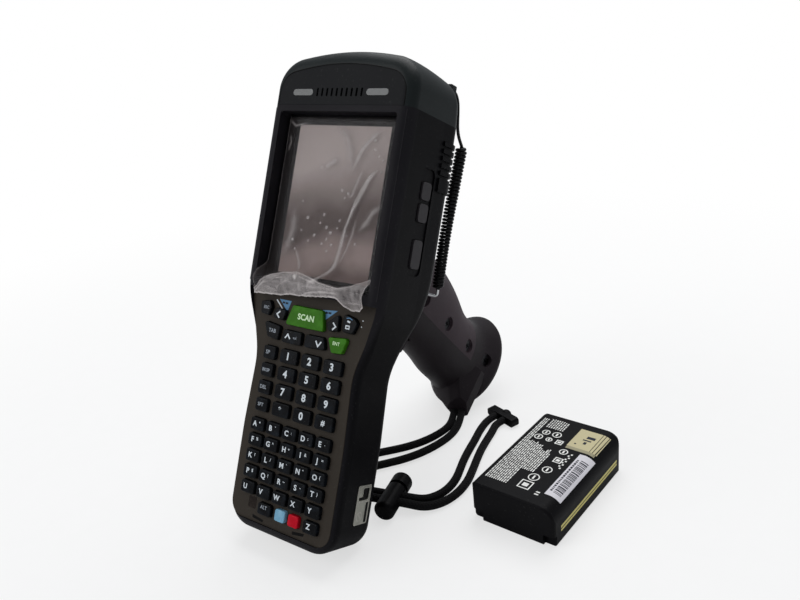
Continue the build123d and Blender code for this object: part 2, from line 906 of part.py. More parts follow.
# ---------------------------------------------------------------- head
panel_back = head_front - panel_thick
with BuildPart() as head_cap:
    add(outer)
    add(inner, mode=Mode.SUBTRACT)
    stretch(cap_along, cap_along + 6 * head_half)
    with BuildSketch(face(panel_back - panel_ledge)):
        panel_sketch(panel_rest / 2, cap_along)
    extrude(amount=panel_ledge)
    with BuildSketch(face(panel_back)):
        panel_sketch(fit, 0)
    extrude(amount=grip_long, mode=Mode.SUBTRACT)
    with BuildSketch(face(-wall * 3)):
        panel_sketch(-panel_rest, cap_along + panel_rest)
    extrude(amount=grip_long, mode=Mode.SUBTRACT)
    block(
        (-window_half, window_half),
        (corner_along - wall * 2, corner_along + grip_long),
        (window_out - window_deep / 2, window_out + window_deep / 2),
        mode=Mode.SUBTRACT,
    )
    for side in (-1, 1):
        block(
            (side * (window_half + 1), side * (window_half + 3)),
            (scan_engine_along[0], corner_along),
            (window_out - window_deep / 2, inner_crown_out),
        )
    block(
        (tether_across - tether_half, tether_across + tether_half),
        tether_along,
        (tether_out, head_back + wall + 1),
        radius=tether_eye,
    )
    with BuildSketch(flank(tether_across - 2 * tether_half)) as eye:
        with Locations((tether_along[0] + tether_half, tether_out + tether_eye_in)):
            Circle(tether_eye)
    extrude(eye.sketch, amount=4 * tether_half, mode=Mode.SUBTRACT)
write(head_cap, "head_cap")

with BuildPart() as head_panel:
    with BuildSketch(face(panel_back)):
        panel_sketch(0, cap_along + fit)
    extrude(amount=grip_long)
    add(outer, mode=Mode.INTERSECT)
    for side in (-1, 1):
        with BuildSketch(face(head_front - light_thick)):
            with Locations((side * light_across, light_along)):
                SlotOverall(light_size[0] + 2 * fit, light_size[1] + 2 * fit)
        extrude(amount=grip_wall, mode=Mode.SUBTRACT)
    with BuildSketch(face(panel_back)):
        with Locations((0, light_along)):
            with GridLocations(slot_pitch, 1, slot_count, 1):
                SlotOverall(slot_size[1], slot_size[0], rotation=90)
    extrude(amount=grip_wall, mode=Mode.SUBTRACT)
write(head_panel, "head_panel")

with BuildPart() as status_lights:
    with BuildSketch(face(head_front - light_thick)):
        for side in (-1, 1):
            with Locations((side * light_across, light_along)):
                SlotOverall(*light_size)
    extrude(amount=light_thick + light_proud)
write(status_lights, "status_lights")

with BuildPart() as speaker:
    with BuildSketch(face(panel_back - speaker_thick)):
        with Locations((0, speaker_along)):
            Circle(speaker_radius)
    extrude(amount=speaker_thick)
write(speaker, "speaker")

engine_low, engine_high = scan_engine_along
with BuildPart() as scan_engine:
    block((-window_half + 1, window_half - 1), scan_engine_along, scan_engine_out)
    with BuildSketch(section(engine_high)):
        for side in (-1, 1):
            with Locations((side * engine_lens_across, -window_out)):
                Circle(engine_lens)
    extrude(amount=engine_lens / 2)
write(scan_engine, "scan_engine")

with BuildPart() as scan_window:
    add(inner)
    with BuildSketch(flank(0)):
        with Locations((corner_along, window_out)):
            Rectangle(4 * wall, window_deep - 2 * fit)
    extrude(amount=window_half - fit, both=True, mode=Mode.INTERSECT)
write(scan_window, "scan_window")

# ---------------------------------------------------------------- grip
pitch = radians(grip_pitch)
GRIP = ALONG * -sin(pitch) + OUT * -cos(pitch)
FORWARD = GRIP.cross(ACROSS)
foot_height = foot_half * cos(pitch + leant) - foot_flat
foot_out = head_back - grip_long * cos(pitch)
foot_along = (foot_height - start.Z - foot_out * sin(leant)) / cos(leant)
grip_along = foot_along + grip_long * sin(pitch)


def grip(station, forward=0.0, across=0.0):
    """A point of the grip: along its axis from the head's back, and forward of the axis."""
    return at(across, grip_along, head_back) + GRIP * station + FORWARD * forward


def grip_plane(station):
    """The plane square to the grip's axis: x across, y forward."""
    return Plane(origin=grip(station), x_dir=ACROSS, z_dir=GRIP)


def grip_side(across=0.0):
    """The plane along the grip: x along its axis, y forward."""
    return Plane(origin=grip(0, 0, across), x_dir=GRIP, z_dir=-ACROSS)


def grip_half(station, forward):
    """Half width of the grip at a point of its side."""
    for low, high in zip(grip_sections, grip_sections[1:]):
        if low[0] <= station <= high[0]:
            share = (station - low[0]) / (high[0] - low[0])
            wide, deep, back = (one + share * (two - one) for one, two in zip(low[1:], high[1:]))
            return wide * sqrt(1 - ((forward + back) / deep) ** 2)


def grip_form(inset=0.0):
    """The grip as one solid, drawn in by an inset."""
    with BuildPart() as form:
        for station, wide, deep, back in grip_sections:
            with BuildSketch(grip_plane(station)):
                with Locations((0, -back)):
                    Ellipse(wide - inset, deep - inset)
        loft()
    return form.part


def grip_box(stations, forwards, half, across=0.0, mode=Mode.ADD):
    """A block in the grip's directions, between two stations each way."""
    with BuildSketch(grip_side(across)) as base:
        with Locations((span(*stations)[0], span(*forwards)[0])):
            Rectangle(span(*stations)[1], span(*forwards)[1])
    extrude(base.sketch, amount=half, both=True, mode=mode)


def grip_place(station):
    """The plane of a screw on the grip's right side."""
    across = grip_half(station, screw_forward)
    return Plane(origin=grip(station, screw_forward, across), x_dir=GRIP, z_dir=ACROSS)


with BuildPart() as grip_outside:
    add(grip_form())
    with BuildSketch(grip_plane(grip_sections[-1][0])) as rim:
        Ellipse(*grip_sections[-1][1:3])
    extrude(rim.sketch, amount=grip_long - grip_sections[-1][0])
    add(outer, mode=Mode.SUBTRACT)

grip_inside = grip_form(grip_wall)
back_screws = [grip_place(station) for station in screw_stations]
foot_screws = [grip_place(foot_screw_station)]
grip_boss = screw_sink + screw_head_thick + screw_long

with BuildPart() as grip_back_shell:
    add(grip_outside.part)
    add(grip_inside, mode=Mode.SUBTRACT)
    screw_bosses([place.offset(-1) for place in back_screws], grip_boss)
    grip_box((-grip_long, foot_joint), (-grip_long, seam_forward), grip_long, mode=Mode.INTERSECT)
    screw_wells(back_screws, screw_sink + screw_head_thick, grip_boss, well_mouth)
write(grip_back_shell, "grip_back_shell")

with BuildPart() as lug:
    for station, corners in ((lug_root_station, lug_root), (lug_stations[0], lug_outline)):
        with BuildSketch(grip_plane(station)):
            Polygon(*corners, align=None)
    loft(ruled=True)
    with BuildSketch(grip_plane(lug_stations[0])) as web:
        Polygon(*lug_outline, align=None)
    extrude(web.sketch, amount=lug_stations[1] - lug_stations[0])
    lug_face = Plane(origin=grip(lug_station, lug_meet, lug_across), z_dir=Vector(*strand_out).normalized())
    with BuildSketch(lug_face) as beyond:
        Rectangle(8 * lug_half, 8 * lug_half)
    extrude(beyond.sketch, amount=4 * lug_half, mode=Mode.SUBTRACT)

with BuildPart() as grip_front_shell:
    add(grip_outside.part)
    add(lug.part)
    add(grip_inside, mode=Mode.SUBTRACT)
    screw_bosses([place.offset(-2) for place in foot_screws], grip_boss)
    grip_box((-grip_long, foot_joint), (-grip_long, seam_forward), grip_long, mode=Mode.SUBTRACT)
    screw_wells(foot_screws, screw_sink + screw_head_thick, grip_boss, well_mouth)
    grip_box(trigger_window, (screw_forward + 8, grip_long), trigger_half + gap, mode=Mode.SUBTRACT)
    with BuildSketch(grip_side(pin_half)) as pin_hole:
        with Locations(trigger_pivot):
            Circle(pin_radius)
    extrude(pin_hole.sketch, amount=2 * pin_half, mode=Mode.SUBTRACT)
    with BuildSketch(grip_plane(grip_long - foot_cover)) as cover_seat:
        Ellipse(grip_sections[-1][1] - grip_wall, foot_half - grip_wall)
    extrude(cover_seat.sketch, amount=2 * foot_cover, mode=Mode.SUBTRACT)
    trim_floor()
write(grip_front_shell, "grip_front_shell")

with BuildPart() as grip_foot:
    with BuildSketch(grip_plane(grip_long - foot_cover)):
        Ellipse(grip_sections[-1][1] - grip_wall - fit, foot_half - grip_wall - fit)
    extrude(amount=foot_cover)
    trim_floor()
write(grip_foot, "grip_foot")

with BuildPart() as trigger:
    with BuildSketch(grip_side()):
        with BuildLine():
            FilletPolyline(*trigger_corners, radius=trigger_radii, close=True)
        make_face()
        with Locations(trigger_pivot):
            Circle(pin_radius + gap, mode=Mode.SUBTRACT)
    extrude(amount=trigger_half, both=True)
write(trigger, "trigger")

with BuildPart() as trigger_pin:
    with BuildSketch(grip_side()):
        with Locations(trigger_pivot):
            Circle(pin_radius)
    extrude(amount=pin_half, both=True)
write(trigger_pin, "trigger_pin")

with BuildPart() as housing_screws_part:
    for place in (*back_places, *back_screws, *foot_screws):
        seat_plane = place.offset(-screw_sink)
        with BuildSketch(seat_plane):
            Circle(screw_head)
        extrude(amount=-screw_head_thick)
        with BuildSketch(seat_plane):
            Rectangle(screw_head, screw_slot)
            Rectangle(screw_slot, screw_head)
        extrude(amount=-screw_slot, mode=Mode.SUBTRACT)
        with BuildSketch(seat_plane.offset(-screw_head_thick)):
            Circle(screw_shank)
        extrude(amount=-screw_long + 1)
write(housing_screws_part, "housing_screws")


# ---------------------------------------------------------------- cords
def cord(points, radius, label):
    """A cord of real length: straight runs joined by tangent arcs."""
    points = [Vector(*point) for point in points]
    runs = [high - low for low, high in zip(points, points[1:])]
    radii = []
    for one, two in zip(runs, runs[1:]):
        half_turn = radians(one.get_angle(two)) / 2
        radii.append(fillet_share * min(one.length, two.length) / tan(half_turn))
    with BuildPart() as piece:
        with BuildLine() as route:
            FilletPolyline(*points, radius=radii)
        with BuildSketch(Plane(origin=route.line @ 0, z_dir=route.line % 0)):
            Circle(radius)
        sweep()
    length = sum(edge.length for edge in route.edges())
    share = piece.part.volume / (pi * radius**2 * length)
    print(label, "length", round(length, 1), "least radius", round(min(radii), 1), "volume share", round(share, 4))
    write(piece, label)


heading = radians(clip_heading)
clip_along = Vector(cos(heading), sin(heading), 0)
clip_square = Vector(-sin(heading), cos(heading), 0)


def clip_point(across, short=0.0):
    """Where a strand meets the clip, or a point short of it."""
    return Vector(*clip_centre) + clip_along * across - clip_square * (clip_size[1] / 2 + short)


side_step = lug_face.z_dir.cross(Vector(0, 0, -1)).normalized() * strand_pitch / 2
strand_starts = [
    [lug_face.origin + side_step * side, lug_face.origin + side_step * side + lug_face.z_dir * strand_run]
    for side in (-1, 1)
]
left_end = [clip_point(clip_meet, clip_run), clip_point(clip_meet)]
right_end = [clip_point(-clip_meet, clip_run), clip_point(-clip_meet)]
cord([*strand_starts[0], *left_route, *left_end], strand_radius, "lanyard_strand_left")
cord([*strand_starts[1], *right_route, *right_end], strand_radius, "lanyard_strand_right")

clip_plane = Plane(origin=clip_centre, x_dir=clip_along, z_dir=(0, 0, 1))
with BuildPart(clip_plane) as lanyard_end_clip:
    Box(*clip_size)
    fillet(lanyard_end_clip.edges().filter_by(Axis(clip_centre, clip_square)), radius=clip_round)
    with Locations((0, clip_size[1] / 2, 0)):
        Sphere(clip_dome)
    with BuildSketch(Plane(origin=(0, 0, 0.1))) as under:
        Rectangle(6 * grip_long, 6 * grip_long)
    extrude(under.sketch, amount=-clip_dome * 4, mode=Mode.SUBTRACT)
write(lanyard_end_clip, "lanyard_end_clip")

lock_turn = radians(lock_heading)
lock_axis = Vector(cos(lock_turn), sin(lock_turn), 0)
lock_cross = Vector(sin(lock_turn), -cos(lock_turn), 0)


def lock_plane(station):
    """The plane square to the cord lock's axis."""
    return Plane(origin=Vector(*lock_centre) + lock_axis * station, x_dir=(0, 0, 1), z_dir=lock_axis)


cross_plane = Plane(origin=lock_centre, x_dir=lock_axis, z_dir=lock_cross)
with BuildPart() as cord_lock_barrel:
    with BuildSketch(lock_plane(-lock_back)):
        Circle(lock_radius)
    extrude(amount=lock_back + lock_mouth)
    far_rim = cord_lock_barrel.edges().sort_by(Axis(lock_centre, lock_axis))[0]
    fillet(far_rim, radius=lock_round)
    with BuildSketch(lock_plane(-lock_back + lock_floor)):
        Circle(lock_radius - lock_wall)
    extrude(amount=grip_long, mode=Mode.SUBTRACT)
    with BuildSketch(cross_plane):
        SlotOverall(*lock_slot)
    extrude(amount=2 * lock_radius, both=True, mode=Mode.SUBTRACT)
write(cord_lock_barrel, "cord_lock_barrel")

with BuildPart() as cord_lock_plunger:
    with BuildSketch(lock_plane(plunger_head[0])):
        Circle(lock_radius)
    extrude(amount=plunger_head[1] - plunger_head[0])
    fillet(cord_lock_plunger.edges().sort_by(Axis(lock_centre, lock_axis))[-1], radius=lock_round)
    with BuildSketch(lock_plane(-lock_back + lock_floor + plunger_travel + 1)):
        Circle(plunger_stem)
    extrude(amount=plunger_head[0] + lock_back - lock_floor - plunger_travel - 1)
    with BuildSketch(cross_plane):
        SlotOverall(plunger_slot, lock_slot[1])
    extrude(amount=2 * lock_radius, both=True, mode=Mode.SUBTRACT)
write(cord_lock_plunger, "cord_lock_plunger")

coil_points = [at(across, corner_along + along, out) for across, along, out in coil_route]
lead_points = [at(across, corner_along + along, out) for across, along, out in lead_route]
coil_start = (coil_points[1] - coil_points[0]).normalized()
coil_finish = (coil_points[-1] - coil_points[-2]).normalized()
lead_meet = coil_points[0] + (OUT - coil_start * OUT.dot(coil_start)).normalized() * (coil_radius - lead_radius)
cord([*lead_points, lead_meet - coil_start * 3, lead_meet], lead_radius, "tether_lead")
cord(coil_points, coil_radius, "tether_coil")

pin_station, pin_forward = tether_pin_end
pin_end = grip(pin_station, pin_forward, grip_half(pin_station, pin_forward) + fit)
pin_bend = coil_points[-1] + coil_finish * 4
cord([coil_points[-1], pin_bend, pin_end + ACROSS * 3, pin_end], tether_pin_radius, "tether_pin")

# ---------------------------------------------------------------- battery, standing by itself
battery_plane = Plane(
    origin=(*battery_place, 0), x_dir=(cos(radians(battery_turn)), sin(radians(battery_turn)), 0), z_dir=(0, 0, 1)
)
battery_end = Plane(origin=battery_plane.origin, x_dir=battery_plane.y_dir, z_dir=battery_plane.x_dir)


def battery_sketch(inset=0.0):
    """Sketches the battery seen from its near end: x to the left, y up."""
    corners = [(0, 0), (0, battery_high), (-battery_wide, battery_high), (-battery_wide, 0)]
    outline(corners, battery_rounds)
    if inset:
        offset(amount=-inset)


def battery_plan():
    """Keeps what lies inside the battery's outline seen from above."""
    corners = [(0, 0), (battery_long, 0), (battery_long, -battery_wide), (0, -battery_wide)]
    with BuildSketch(battery_plane) as plan:
        outline(corners, battery_plan_rounds)
    extrude(plan.sketch, amount=battery_high, mode=Mode.INTERSECT)


with BuildPart() as battery_case:
    with BuildSketch(battery_end.offset(end_cap_long)):
        battery_sketch()
    extrude(amount=battery_long - end_cap_long)
    fillet(battery_case.faces().sort_by(Axis(battery_plane.origin, battery_plane.x_dir))[-1].edges(), radius=1.2)
    battery_plan()
    with BuildSketch(battery_end.offset(battery_long - contact_depth)):
        with Locations((-battery_wide / 2, battery_high / 2)):
            with GridLocations(contact_pitch, 1, contact_count, 1):
                Rectangle(contact_size[0] + 2 * fit, contact_size[1] + 2 * fit)
    extrude(amount=contact_depth * 2, mode=Mode.SUBTRACT)
write(battery_case, "battery_case")

with BuildPart() as battery_end_cap:
    with BuildSketch(battery_end):
        battery_sketch()
    extrude(amount=end_cap_long)
    fillet(battery_end_cap.faces().sort_by(Axis(battery_plane.origin, battery_plane.x_dir))[0].edges(), radius=1.2)
    battery_plan()
    for side in notch_places:
        with BuildSketch(battery_end.offset(-1)):
            with Locations((-side, notch_size[1] / 2 - 1)):
                Rectangle(notch_size[0], notch_size[1] + 2)
        extrude(amount=1 + notch_size[2], mode=Mode.SUBTRACT)
write(battery_end_cap, "battery_end_cap")

with BuildPart() as battery_contacts:
    with BuildSketch(battery_end.offset(battery_long - contact_depth)):
        with Locations((-battery_wide / 2, battery_high / 2)):
            with GridLocations(contact_pitch, 1, contact_count, 1):
                Rectangle(*contact_size)
    extrude(amount=contact_depth - contact_sunk)
write(battery_contacts, "battery_contacts")
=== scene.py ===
# Portable barcode data terminal on a pistol grip, with its loose battery, lanyard and stylus tether.
# Metres, Z up. The CAD model is the frame; this script dresses it.
import json
import random
from math import cos, exp, pi, radians, sin

import bpy
from mathutils import Matrix, Vector, noise

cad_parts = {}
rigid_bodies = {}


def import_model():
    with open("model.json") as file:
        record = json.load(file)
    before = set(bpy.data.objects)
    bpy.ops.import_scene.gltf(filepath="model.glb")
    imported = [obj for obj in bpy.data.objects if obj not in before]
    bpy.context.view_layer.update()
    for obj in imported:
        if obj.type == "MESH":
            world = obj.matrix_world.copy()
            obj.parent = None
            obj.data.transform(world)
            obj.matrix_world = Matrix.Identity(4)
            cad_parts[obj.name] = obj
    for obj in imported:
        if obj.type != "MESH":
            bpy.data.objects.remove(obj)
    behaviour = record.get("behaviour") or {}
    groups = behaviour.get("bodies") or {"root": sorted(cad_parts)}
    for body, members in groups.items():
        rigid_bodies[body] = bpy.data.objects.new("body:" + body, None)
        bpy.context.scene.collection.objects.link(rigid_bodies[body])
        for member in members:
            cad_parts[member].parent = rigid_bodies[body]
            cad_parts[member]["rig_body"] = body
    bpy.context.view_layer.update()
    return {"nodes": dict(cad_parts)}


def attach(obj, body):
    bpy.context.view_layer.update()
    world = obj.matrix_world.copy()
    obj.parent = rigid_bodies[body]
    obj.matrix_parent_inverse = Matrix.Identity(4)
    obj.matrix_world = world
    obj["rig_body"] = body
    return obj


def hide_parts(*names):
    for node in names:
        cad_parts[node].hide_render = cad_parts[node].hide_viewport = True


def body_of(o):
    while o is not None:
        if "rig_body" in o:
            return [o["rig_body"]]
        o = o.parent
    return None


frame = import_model()
nodes = frame["nodes"]
bpy.ops.object.select_all(action="DESELECT")
print("frame loaded,", len(nodes), "CAD nodes")

mm = 0.001
terminal = {"lean": 26.0, "start": (0.0, -26.218, 11.8055)}  # the body's tilt and its lower end, in mm
lean = radians(terminal["lean"])
onBody = Matrix.Translation(Vector(terminal["start"]) * mm) @ Matrix.Rotation(pi / 2 - lean, 4, "X")
# on the body x runs across, y up its face and z out of its keys
offBody = {"rotation": (lean - pi / 2, 0, 0), "location": tuple(onBody.inverted().translation)}


# shader maths is written as expressions on sockets
class Wire:
    def __init__(self, finish, socket):
        self.finish = finish
        self.socket = socket

    def maths(self, operation, first, second=0.0):
        return self.finish.node("ShaderNodeMath", {"operation": operation}, {0: first, 1: second})

    def __add__(self, other):
        return self.maths("ADD", self, other)

    def __sub__(self, other):
        return self.maths("SUBTRACT", self, other)

    def __rsub__(self, other):
        return self.maths("SUBTRACT", other, self)

    def __mul__(self, other):
        return self.maths("MULTIPLY", self, other)

    def __truediv__(self, other):
        return self.maths("DIVIDE", self, other)

    __radd__ = __add__
    __rmul__ = __mul__

    def size(self):
        return self.maths("ABSOLUTE", self)

    def sine(self):
        return self.maths("SINE", self)

    def most(self, other):
        return self.maths("MAXIMUM", self, other)

    def between(self, low, high):  # 0 below low, 1 above high
        sockets = {0: self, 1: low, 2: high}
        return self.finish.node("ShaderNodeMapRange", {"interpolation_type": "SMOOTHSTEP"}, sockets)

    def parts(self):
        return [self.finish.node("ShaderNodeSeparateXYZ", {}, {0: self}, output) for output in range(3)]


class Finish:
    def __init__(self, name, store="materials"):
        self.owner = getattr(bpy.data, store).new(name)
        self.owner.use_nodes = True
        self.tree = self.owner.node_tree
        self.tree.nodes.clear()

    def node(self, kind, settings, sockets, output=0):
        made = self.tree.nodes.new(kind)
        for name, value in settings.items():
            if name == "stops":
                self.setStops(made.color_ramp, value)
            else:
                setattr(made, name, value)
        for key, value in sockets.items():
            self.link(made.inputs[key], value)
        return Wire(self, made.outputs[output] if len(made.outputs) else None)

    def link(self, socket, value):
        if isinstance(value, Wire):
            self.tree.links.new(value.socket, socket)
        elif socket.type == "RGBA" and len(value) == 3:
            socket.default_value = (*value, 1.0)
        else:
            socket.default_value = value

    def setStops(self, ramp, stops):
        while len(ramp.elements) < len(stops):
            ramp.elements.new(0.5)
        for element, (place, colour) in zip(ramp.elements, stops):
            element.position = place
            element.color = (*colour, 1.0)

    def place(self):
        return self.node("ShaderNodeTexCoord", {}, {}, "Object")

    def bodyPlace(self):  # across, along and out of the body, in metres
        moved = {"Vector": self.place(), "Location": offBody["location"], "Rotation": offBody["rotation"]}
        return self.node("ShaderNodeMapping", {}, moved)

    def grain(self, scale, detail=3.0, roughness=0.5, where=None):
        sockets = {"Vector": where or self.place(), "Scale": scale, "Detail": detail, "Roughness": roughness}
        return self.node("ShaderNodeTexNoise", {}, sockets)

    def blend(self, share, one, two):
        settings = {"data_type": "RGBA", "blend_type": "MIX"}
        return self.node("ShaderNodeMix", settings, {0: share, 6: one, 7: two}, 2)

    def bump(self, height, distance):
        return self.node("ShaderNodeBump", {}, {"Height": height, "Distance": distance})

    def surface(self, **sockets):
        names = {name.replace("_", " "): value for name, value in sockets.items()}
        shader = self.node("ShaderNodeBsdfPrincipled", {}, names)
        self.node("ShaderNodeOutputMaterial", {}, {"Surface": shader})
        return self.owner

    def backdrop(self, lit, white):  # the camera and glass see white, and the object gets the lit one's light
        seen = self.node("ShaderNodeLightPath", {}, {}, "Is Camera Ray")
        through = self.node("ShaderNodeLightPath", {}, {}, "Is Transmission Ray")
        return self.node("ShaderNodeMixShader", {}, {0: seen.most(through), 1: lit, 2: white})


patterns = {  # scale per metre, detail and roughness of each noise
    "handled": (34.0, 4.0, 0.6),
    "scuffs": (160.0, 5.0, 0.7),
    "dust": (900.0, 1.0),
    "rubbed": (240.0, 4.0, 0.6),
    "keyDust": (1100.0, 1.0),
    "keyGrain": (3200.0, 1.0),
    "scratches": (2400.0, 3.0, 0.6),
    "tarnish": (190.0, 4.0, 0.6),
    "fibres": (5200.0, 2.0),
    "panelBandWobble": (30.0, 3.0),
    "pixels": (5200.0, 0.0),
    "smears": (55.0, 5.0, 0.7),
    "thinMilk": (150.0, 6.0, 0.7),
    "fineMilk": (700.0, 4.0, 0.7),
    "lensCloud": (500.0, 3.0),
    "lensLines": (2600.0, 1.0),
    "inkWear": (900.0, 4.0, 0.7),
    "floor": (90.0, 4.0),
}


face = {"behind": -0.005, "at": -0.0015}  # how far out of the body its face begins, in metres; the front housing's painted highlight fades in between these


def moulded(
    name, colour, roughness, specular=0.12, texture=2600.0, depth=0.00003, dust=0.35, pale=1.9, litFaceColour=None
):
    # fine moulded grain, uneven gloss from handling, faint dust and scuffs; if a lit face colour is given, a
    # painted highlight near the body's face
    finish = Finish(name)
    grain = finish.grain(texture, 2.0)
    handled = finish.grain(*patterns["handled"])
    specks = finish.grain(*patterns["dust"]).between(0.68, 0.74)
    scuffs = finish.grain(*patterns["scuffs"]).between(0.6, 0.72)
    lighter = tuple(part * pale + 0.002 for part in colour)
    shade = finish.blend((handled.between(0.35, 0.7) * 0.45 + scuffs * 0.3) * dust, colour, lighter)
    if litFaceColour:  # painted highlight: a lighter colour near the body's face, where the bezel catches the light
        out = finish.bodyPlace().parts()[2].between(face["behind"], face["at"])
        shade = finish.blend(out, shade, finish.blend(handled.between(0.35, 0.7) * dust, litFaceColour, lighter))
    dusty = finish.blend(specks * dust * 0.3, shade, (0.1, 0.1, 0.095))
    rough = roughness + (handled - 0.5) * 0.25 + grain * 0.05
    normal = finish.bump(grain + scuffs * 0.4, depth)
    return finish.surface(Base_Color=dusty, Roughness=rough, Normal=normal, Specular_IOR_Level=specular)


def glossy(name, colour, edge, roughness=0.3, specular=0.09, dust=0.1):
    # smooth coated key tops, paler where they are rubbed
    finish = Finish(name)
    rubbed = finish.grain(*patterns["rubbed"])
    fine = finish.grain(*patterns["keyGrain"])
    specks = finish.grain(*patterns["keyDust"]).between(0.69, 0.75)
    shade = finish.blend(rubbed.between(0.42, 0.75) * 0.5, colour, edge)
    dusty = finish.blend(specks * dust, shade, (0.2, 0.2, 0.19))
    rough = roughness + (rubbed - 0.5) * 0.25
    normal = finish.bump(fine, 0.00001)
    return finish.surface(Base_Color=dusty, Roughness=rough, Normal=normal, Specular_IOR_Level=specular)


def metal(name, colour, roughness, streak=(1.0, 1.0, 1.0)):
    # drawn or stamped metal: long fine scratches and a slight tarnish
    finish = Finish(name)
    stretched = finish.node("ShaderNodeMapping", {}, {"Vector": finish.place(), "Scale": streak})
    scratch = finish.grain(*patterns["scratches"], where=stretched)
    tarnish = finish.grain(*patterns["tarnish"])
    darker = tuple(part * 0.55 for part in colour)
    shade = finish.blend(tarnish.between(0.45, 0.8) * 0.6, colour, darker)
    rough = roughness + (scratch - 0.5) * 0.3 + (tarnish - 0.5) * 0.15
    normal = finish.bump(scratch, 0.00001)
    return finish.surface(Base_Color=shade, Roughness=rough, Normal=normal, Metallic=1.0)


def braided(name, colour, light):
    # woven sleeve of a round cord: two sets of strands that wind opposite ways
    sleeve = {"turns": 6.0, "picks": 150.0, "depth": 0.00016}
    finish = Finish(name)
    across, along, _ = finish.node("ShaderNodeTexCoord", {}, {}, "UV").parts()
    one = ((along * sleeve["turns"] + across * sleeve["picks"]) * (2 * pi)).sine()
    two = ((along * sleeve["turns"] - across * sleeve["picks"]) * (2 * pi)).sine()
    weave = one.most(two) * 0.5 + 0.5
    fibres = finish.grain(*patterns["fibres"])
    shade = finish.blend(weave * 0.6 + fibres * 0.25, colour, light)
    normal = finish.bump(weave + fibres * 0.35, sleeve["depth"])
    sheen = {"Sheen_Weight": 0.05, "Sheen_Roughness": 0.4, "Specular_IOR_Level": 0.12}
    return finish.surface(Base_Color=shade, Roughness=0.62 + fibres * 0.2, Normal=normal, **sheen)


def displayFinish():
    # switched-off panel: warm grey inside a black border, with a painted reflection in light and dark bands
    # along it
    panel = {
        "half": 27.3, "low": 124.8, "high": 197.0, "edge": 0.15,
        "cloud": 0.35, "slant": 2.2, "pixel": (0.16, 0.13, 0.125), "border": (0.004, 0.004, 0.005),
        "reflectionBands": [  # painted reflection bands, from the lower end to the upper one
            (0.0, (0.2, 0.14, 0.13)),
            (0.1, (0.42, 0.32, 0.3)),
            (0.2, (0.36, 0.275, 0.26)),
            (0.33, (0.11, 0.08, 0.075)),
            (0.46, (0.125, 0.093, 0.087)),
            (0.62, (0.3, 0.245, 0.232)),
            (0.82, (0.56, 0.475, 0.455)),
        ],
    }
    finish = Finish("displayPanel")
    across, along, _ = finish.bodyPlace().parts()
    middle = (panel["low"] + panel["high"]) / 2 * mm
    beside = across.size() - panel["half"] * mm
    beyond = (along - middle).size() - (panel["high"] * mm - middle)
    border = beside.most(beyond).between(-panel["edge"] * mm, panel["edge"] * mm)
    # noise wobbles the painted reflection bands, and they slant across the panel
    cloud = finish.grain(*patterns["panelBandWobble"])
    level = (along - panel["low"] * mm) / ((panel["high"] - panel["low"]) * mm)
    level = level + (cloud - 0.5) * panel["cloud"] - across * panel["slant"]
    lit = finish.node("ShaderNodeValToRGB", {"stops": panel["reflectionBands"]}, {0: level})
    pixels = finish.grain(*patterns["pixels"])
    shade = finish.blend(border, finish.blend(pixels * 0.2, lit, panel["pixel"]), panel["border"])
    return finish.surface(Base_Color=shade, Roughness=0.45 - border * 0.2, Specular_IOR_Level=0.1)


def glassFinish():
    # clear touch panel: almost invisible, with smears
    finish = Finish("touchGlass")
    smears = finish.grain(*patterns["smears"])
    alpha = 0.1 + smears.between(0.5, 0.8) * 0.05
    rough = 0.06 + smears.between(0.45, 0.8) * 0.15
    tint = (0.01, 0.01, 0.012)
    return finish.surface(Base_Color=tint, Roughness=rough, Alpha=alpha, Specular_IOR_Level=0.3)


def filmFinish():
    # peeled protective film: clear where it lies flat, milky along folds and where it lifts, with painted
    # highlights along the crest and the lower edge of the lifted part
    finish = Finish("protectiveFilm")
    milk = finish.node("ShaderNodeAttribute", {"attribute_name": "milk"}, {}, "Fac")
    where = finish.bodyPlace()
    thin = finish.grain(*patterns["thinMilk"], where=where).between(0.45, 0.8)
    fine = finish.grain(*patterns["fineMilk"], where=where).between(0.4, 0.8)
    alpha = milk * (0.84 + thin * 0.14 + fine * 0.1)
    shade = finish.blend(milk * 1.1 + thin * 0.05, (0.25, 0.215, 0.212), (0.68, 0.63, 0.62))
    rough = 0.22 + thin * 0.25
    normal = finish.bump(thin + fine * 0.3, 0.00002)
    shine = {"Specular_IOR_Level": 0.5}
    return finish.surface(Base_Color=shade, Roughness=rough, Alpha=alpha, Normal=normal, **shine)


def lensFinish(name, colour, roughness):
    # tinted clear plastic, cloudy inside
    finish = Finish(name)
    cloud = finish.grain(*patterns["lensCloud"])
    lines = finish.grain(*patterns["lensLines"])
    shade = finish.blend(cloud, colour, tuple(part * 0.7 for part in colour))
    normal = finish.bump(lines, 0.00002)
    return finish.surface(Base_Color=shade, Roughness=roughness + cloud * 0.1, Normal=normal, Coat_Weight=0.3)


def boardFinish():
    # green board with raised tracks
    finish = Finish("circuitBoard")
    cells = {"Vector": finish.place(), "Scale": 260.0, "Randomness": 0.4}
    tracks = finish.node("ShaderNodeTexVoronoi", {"feature": "DISTANCE_TO_EDGE"}, cells)
    line = 1 - tracks.between(0.02, 0.05)
    shade = finish.blend(line, (0.01, 0.07, 0.03), (0.03, 0.16, 0.07))
    return finish.surface(Base_Color=shade, Roughness=0.4 + line * 0.1, Normal=finish.bump(line, 0.00002))


def printFinish(name, colour, worn=0.25):
    # ink on plastic, slightly worn
    finish = Finish(name)
    wear = finish.grain(*patterns["inkWear"])
    shade = finish.blend(wear.between(0.5, 0.85) * worn, colour, tuple(part * 0.35 for part in colour))
    normal = finish.bump(wear, 0.000008)
    rough = 0.5 + wear * 0.15
    return finish.surface(Base_Color=shade, Roughness=rough, Normal=normal, Specular_IOR_Level=0.3)


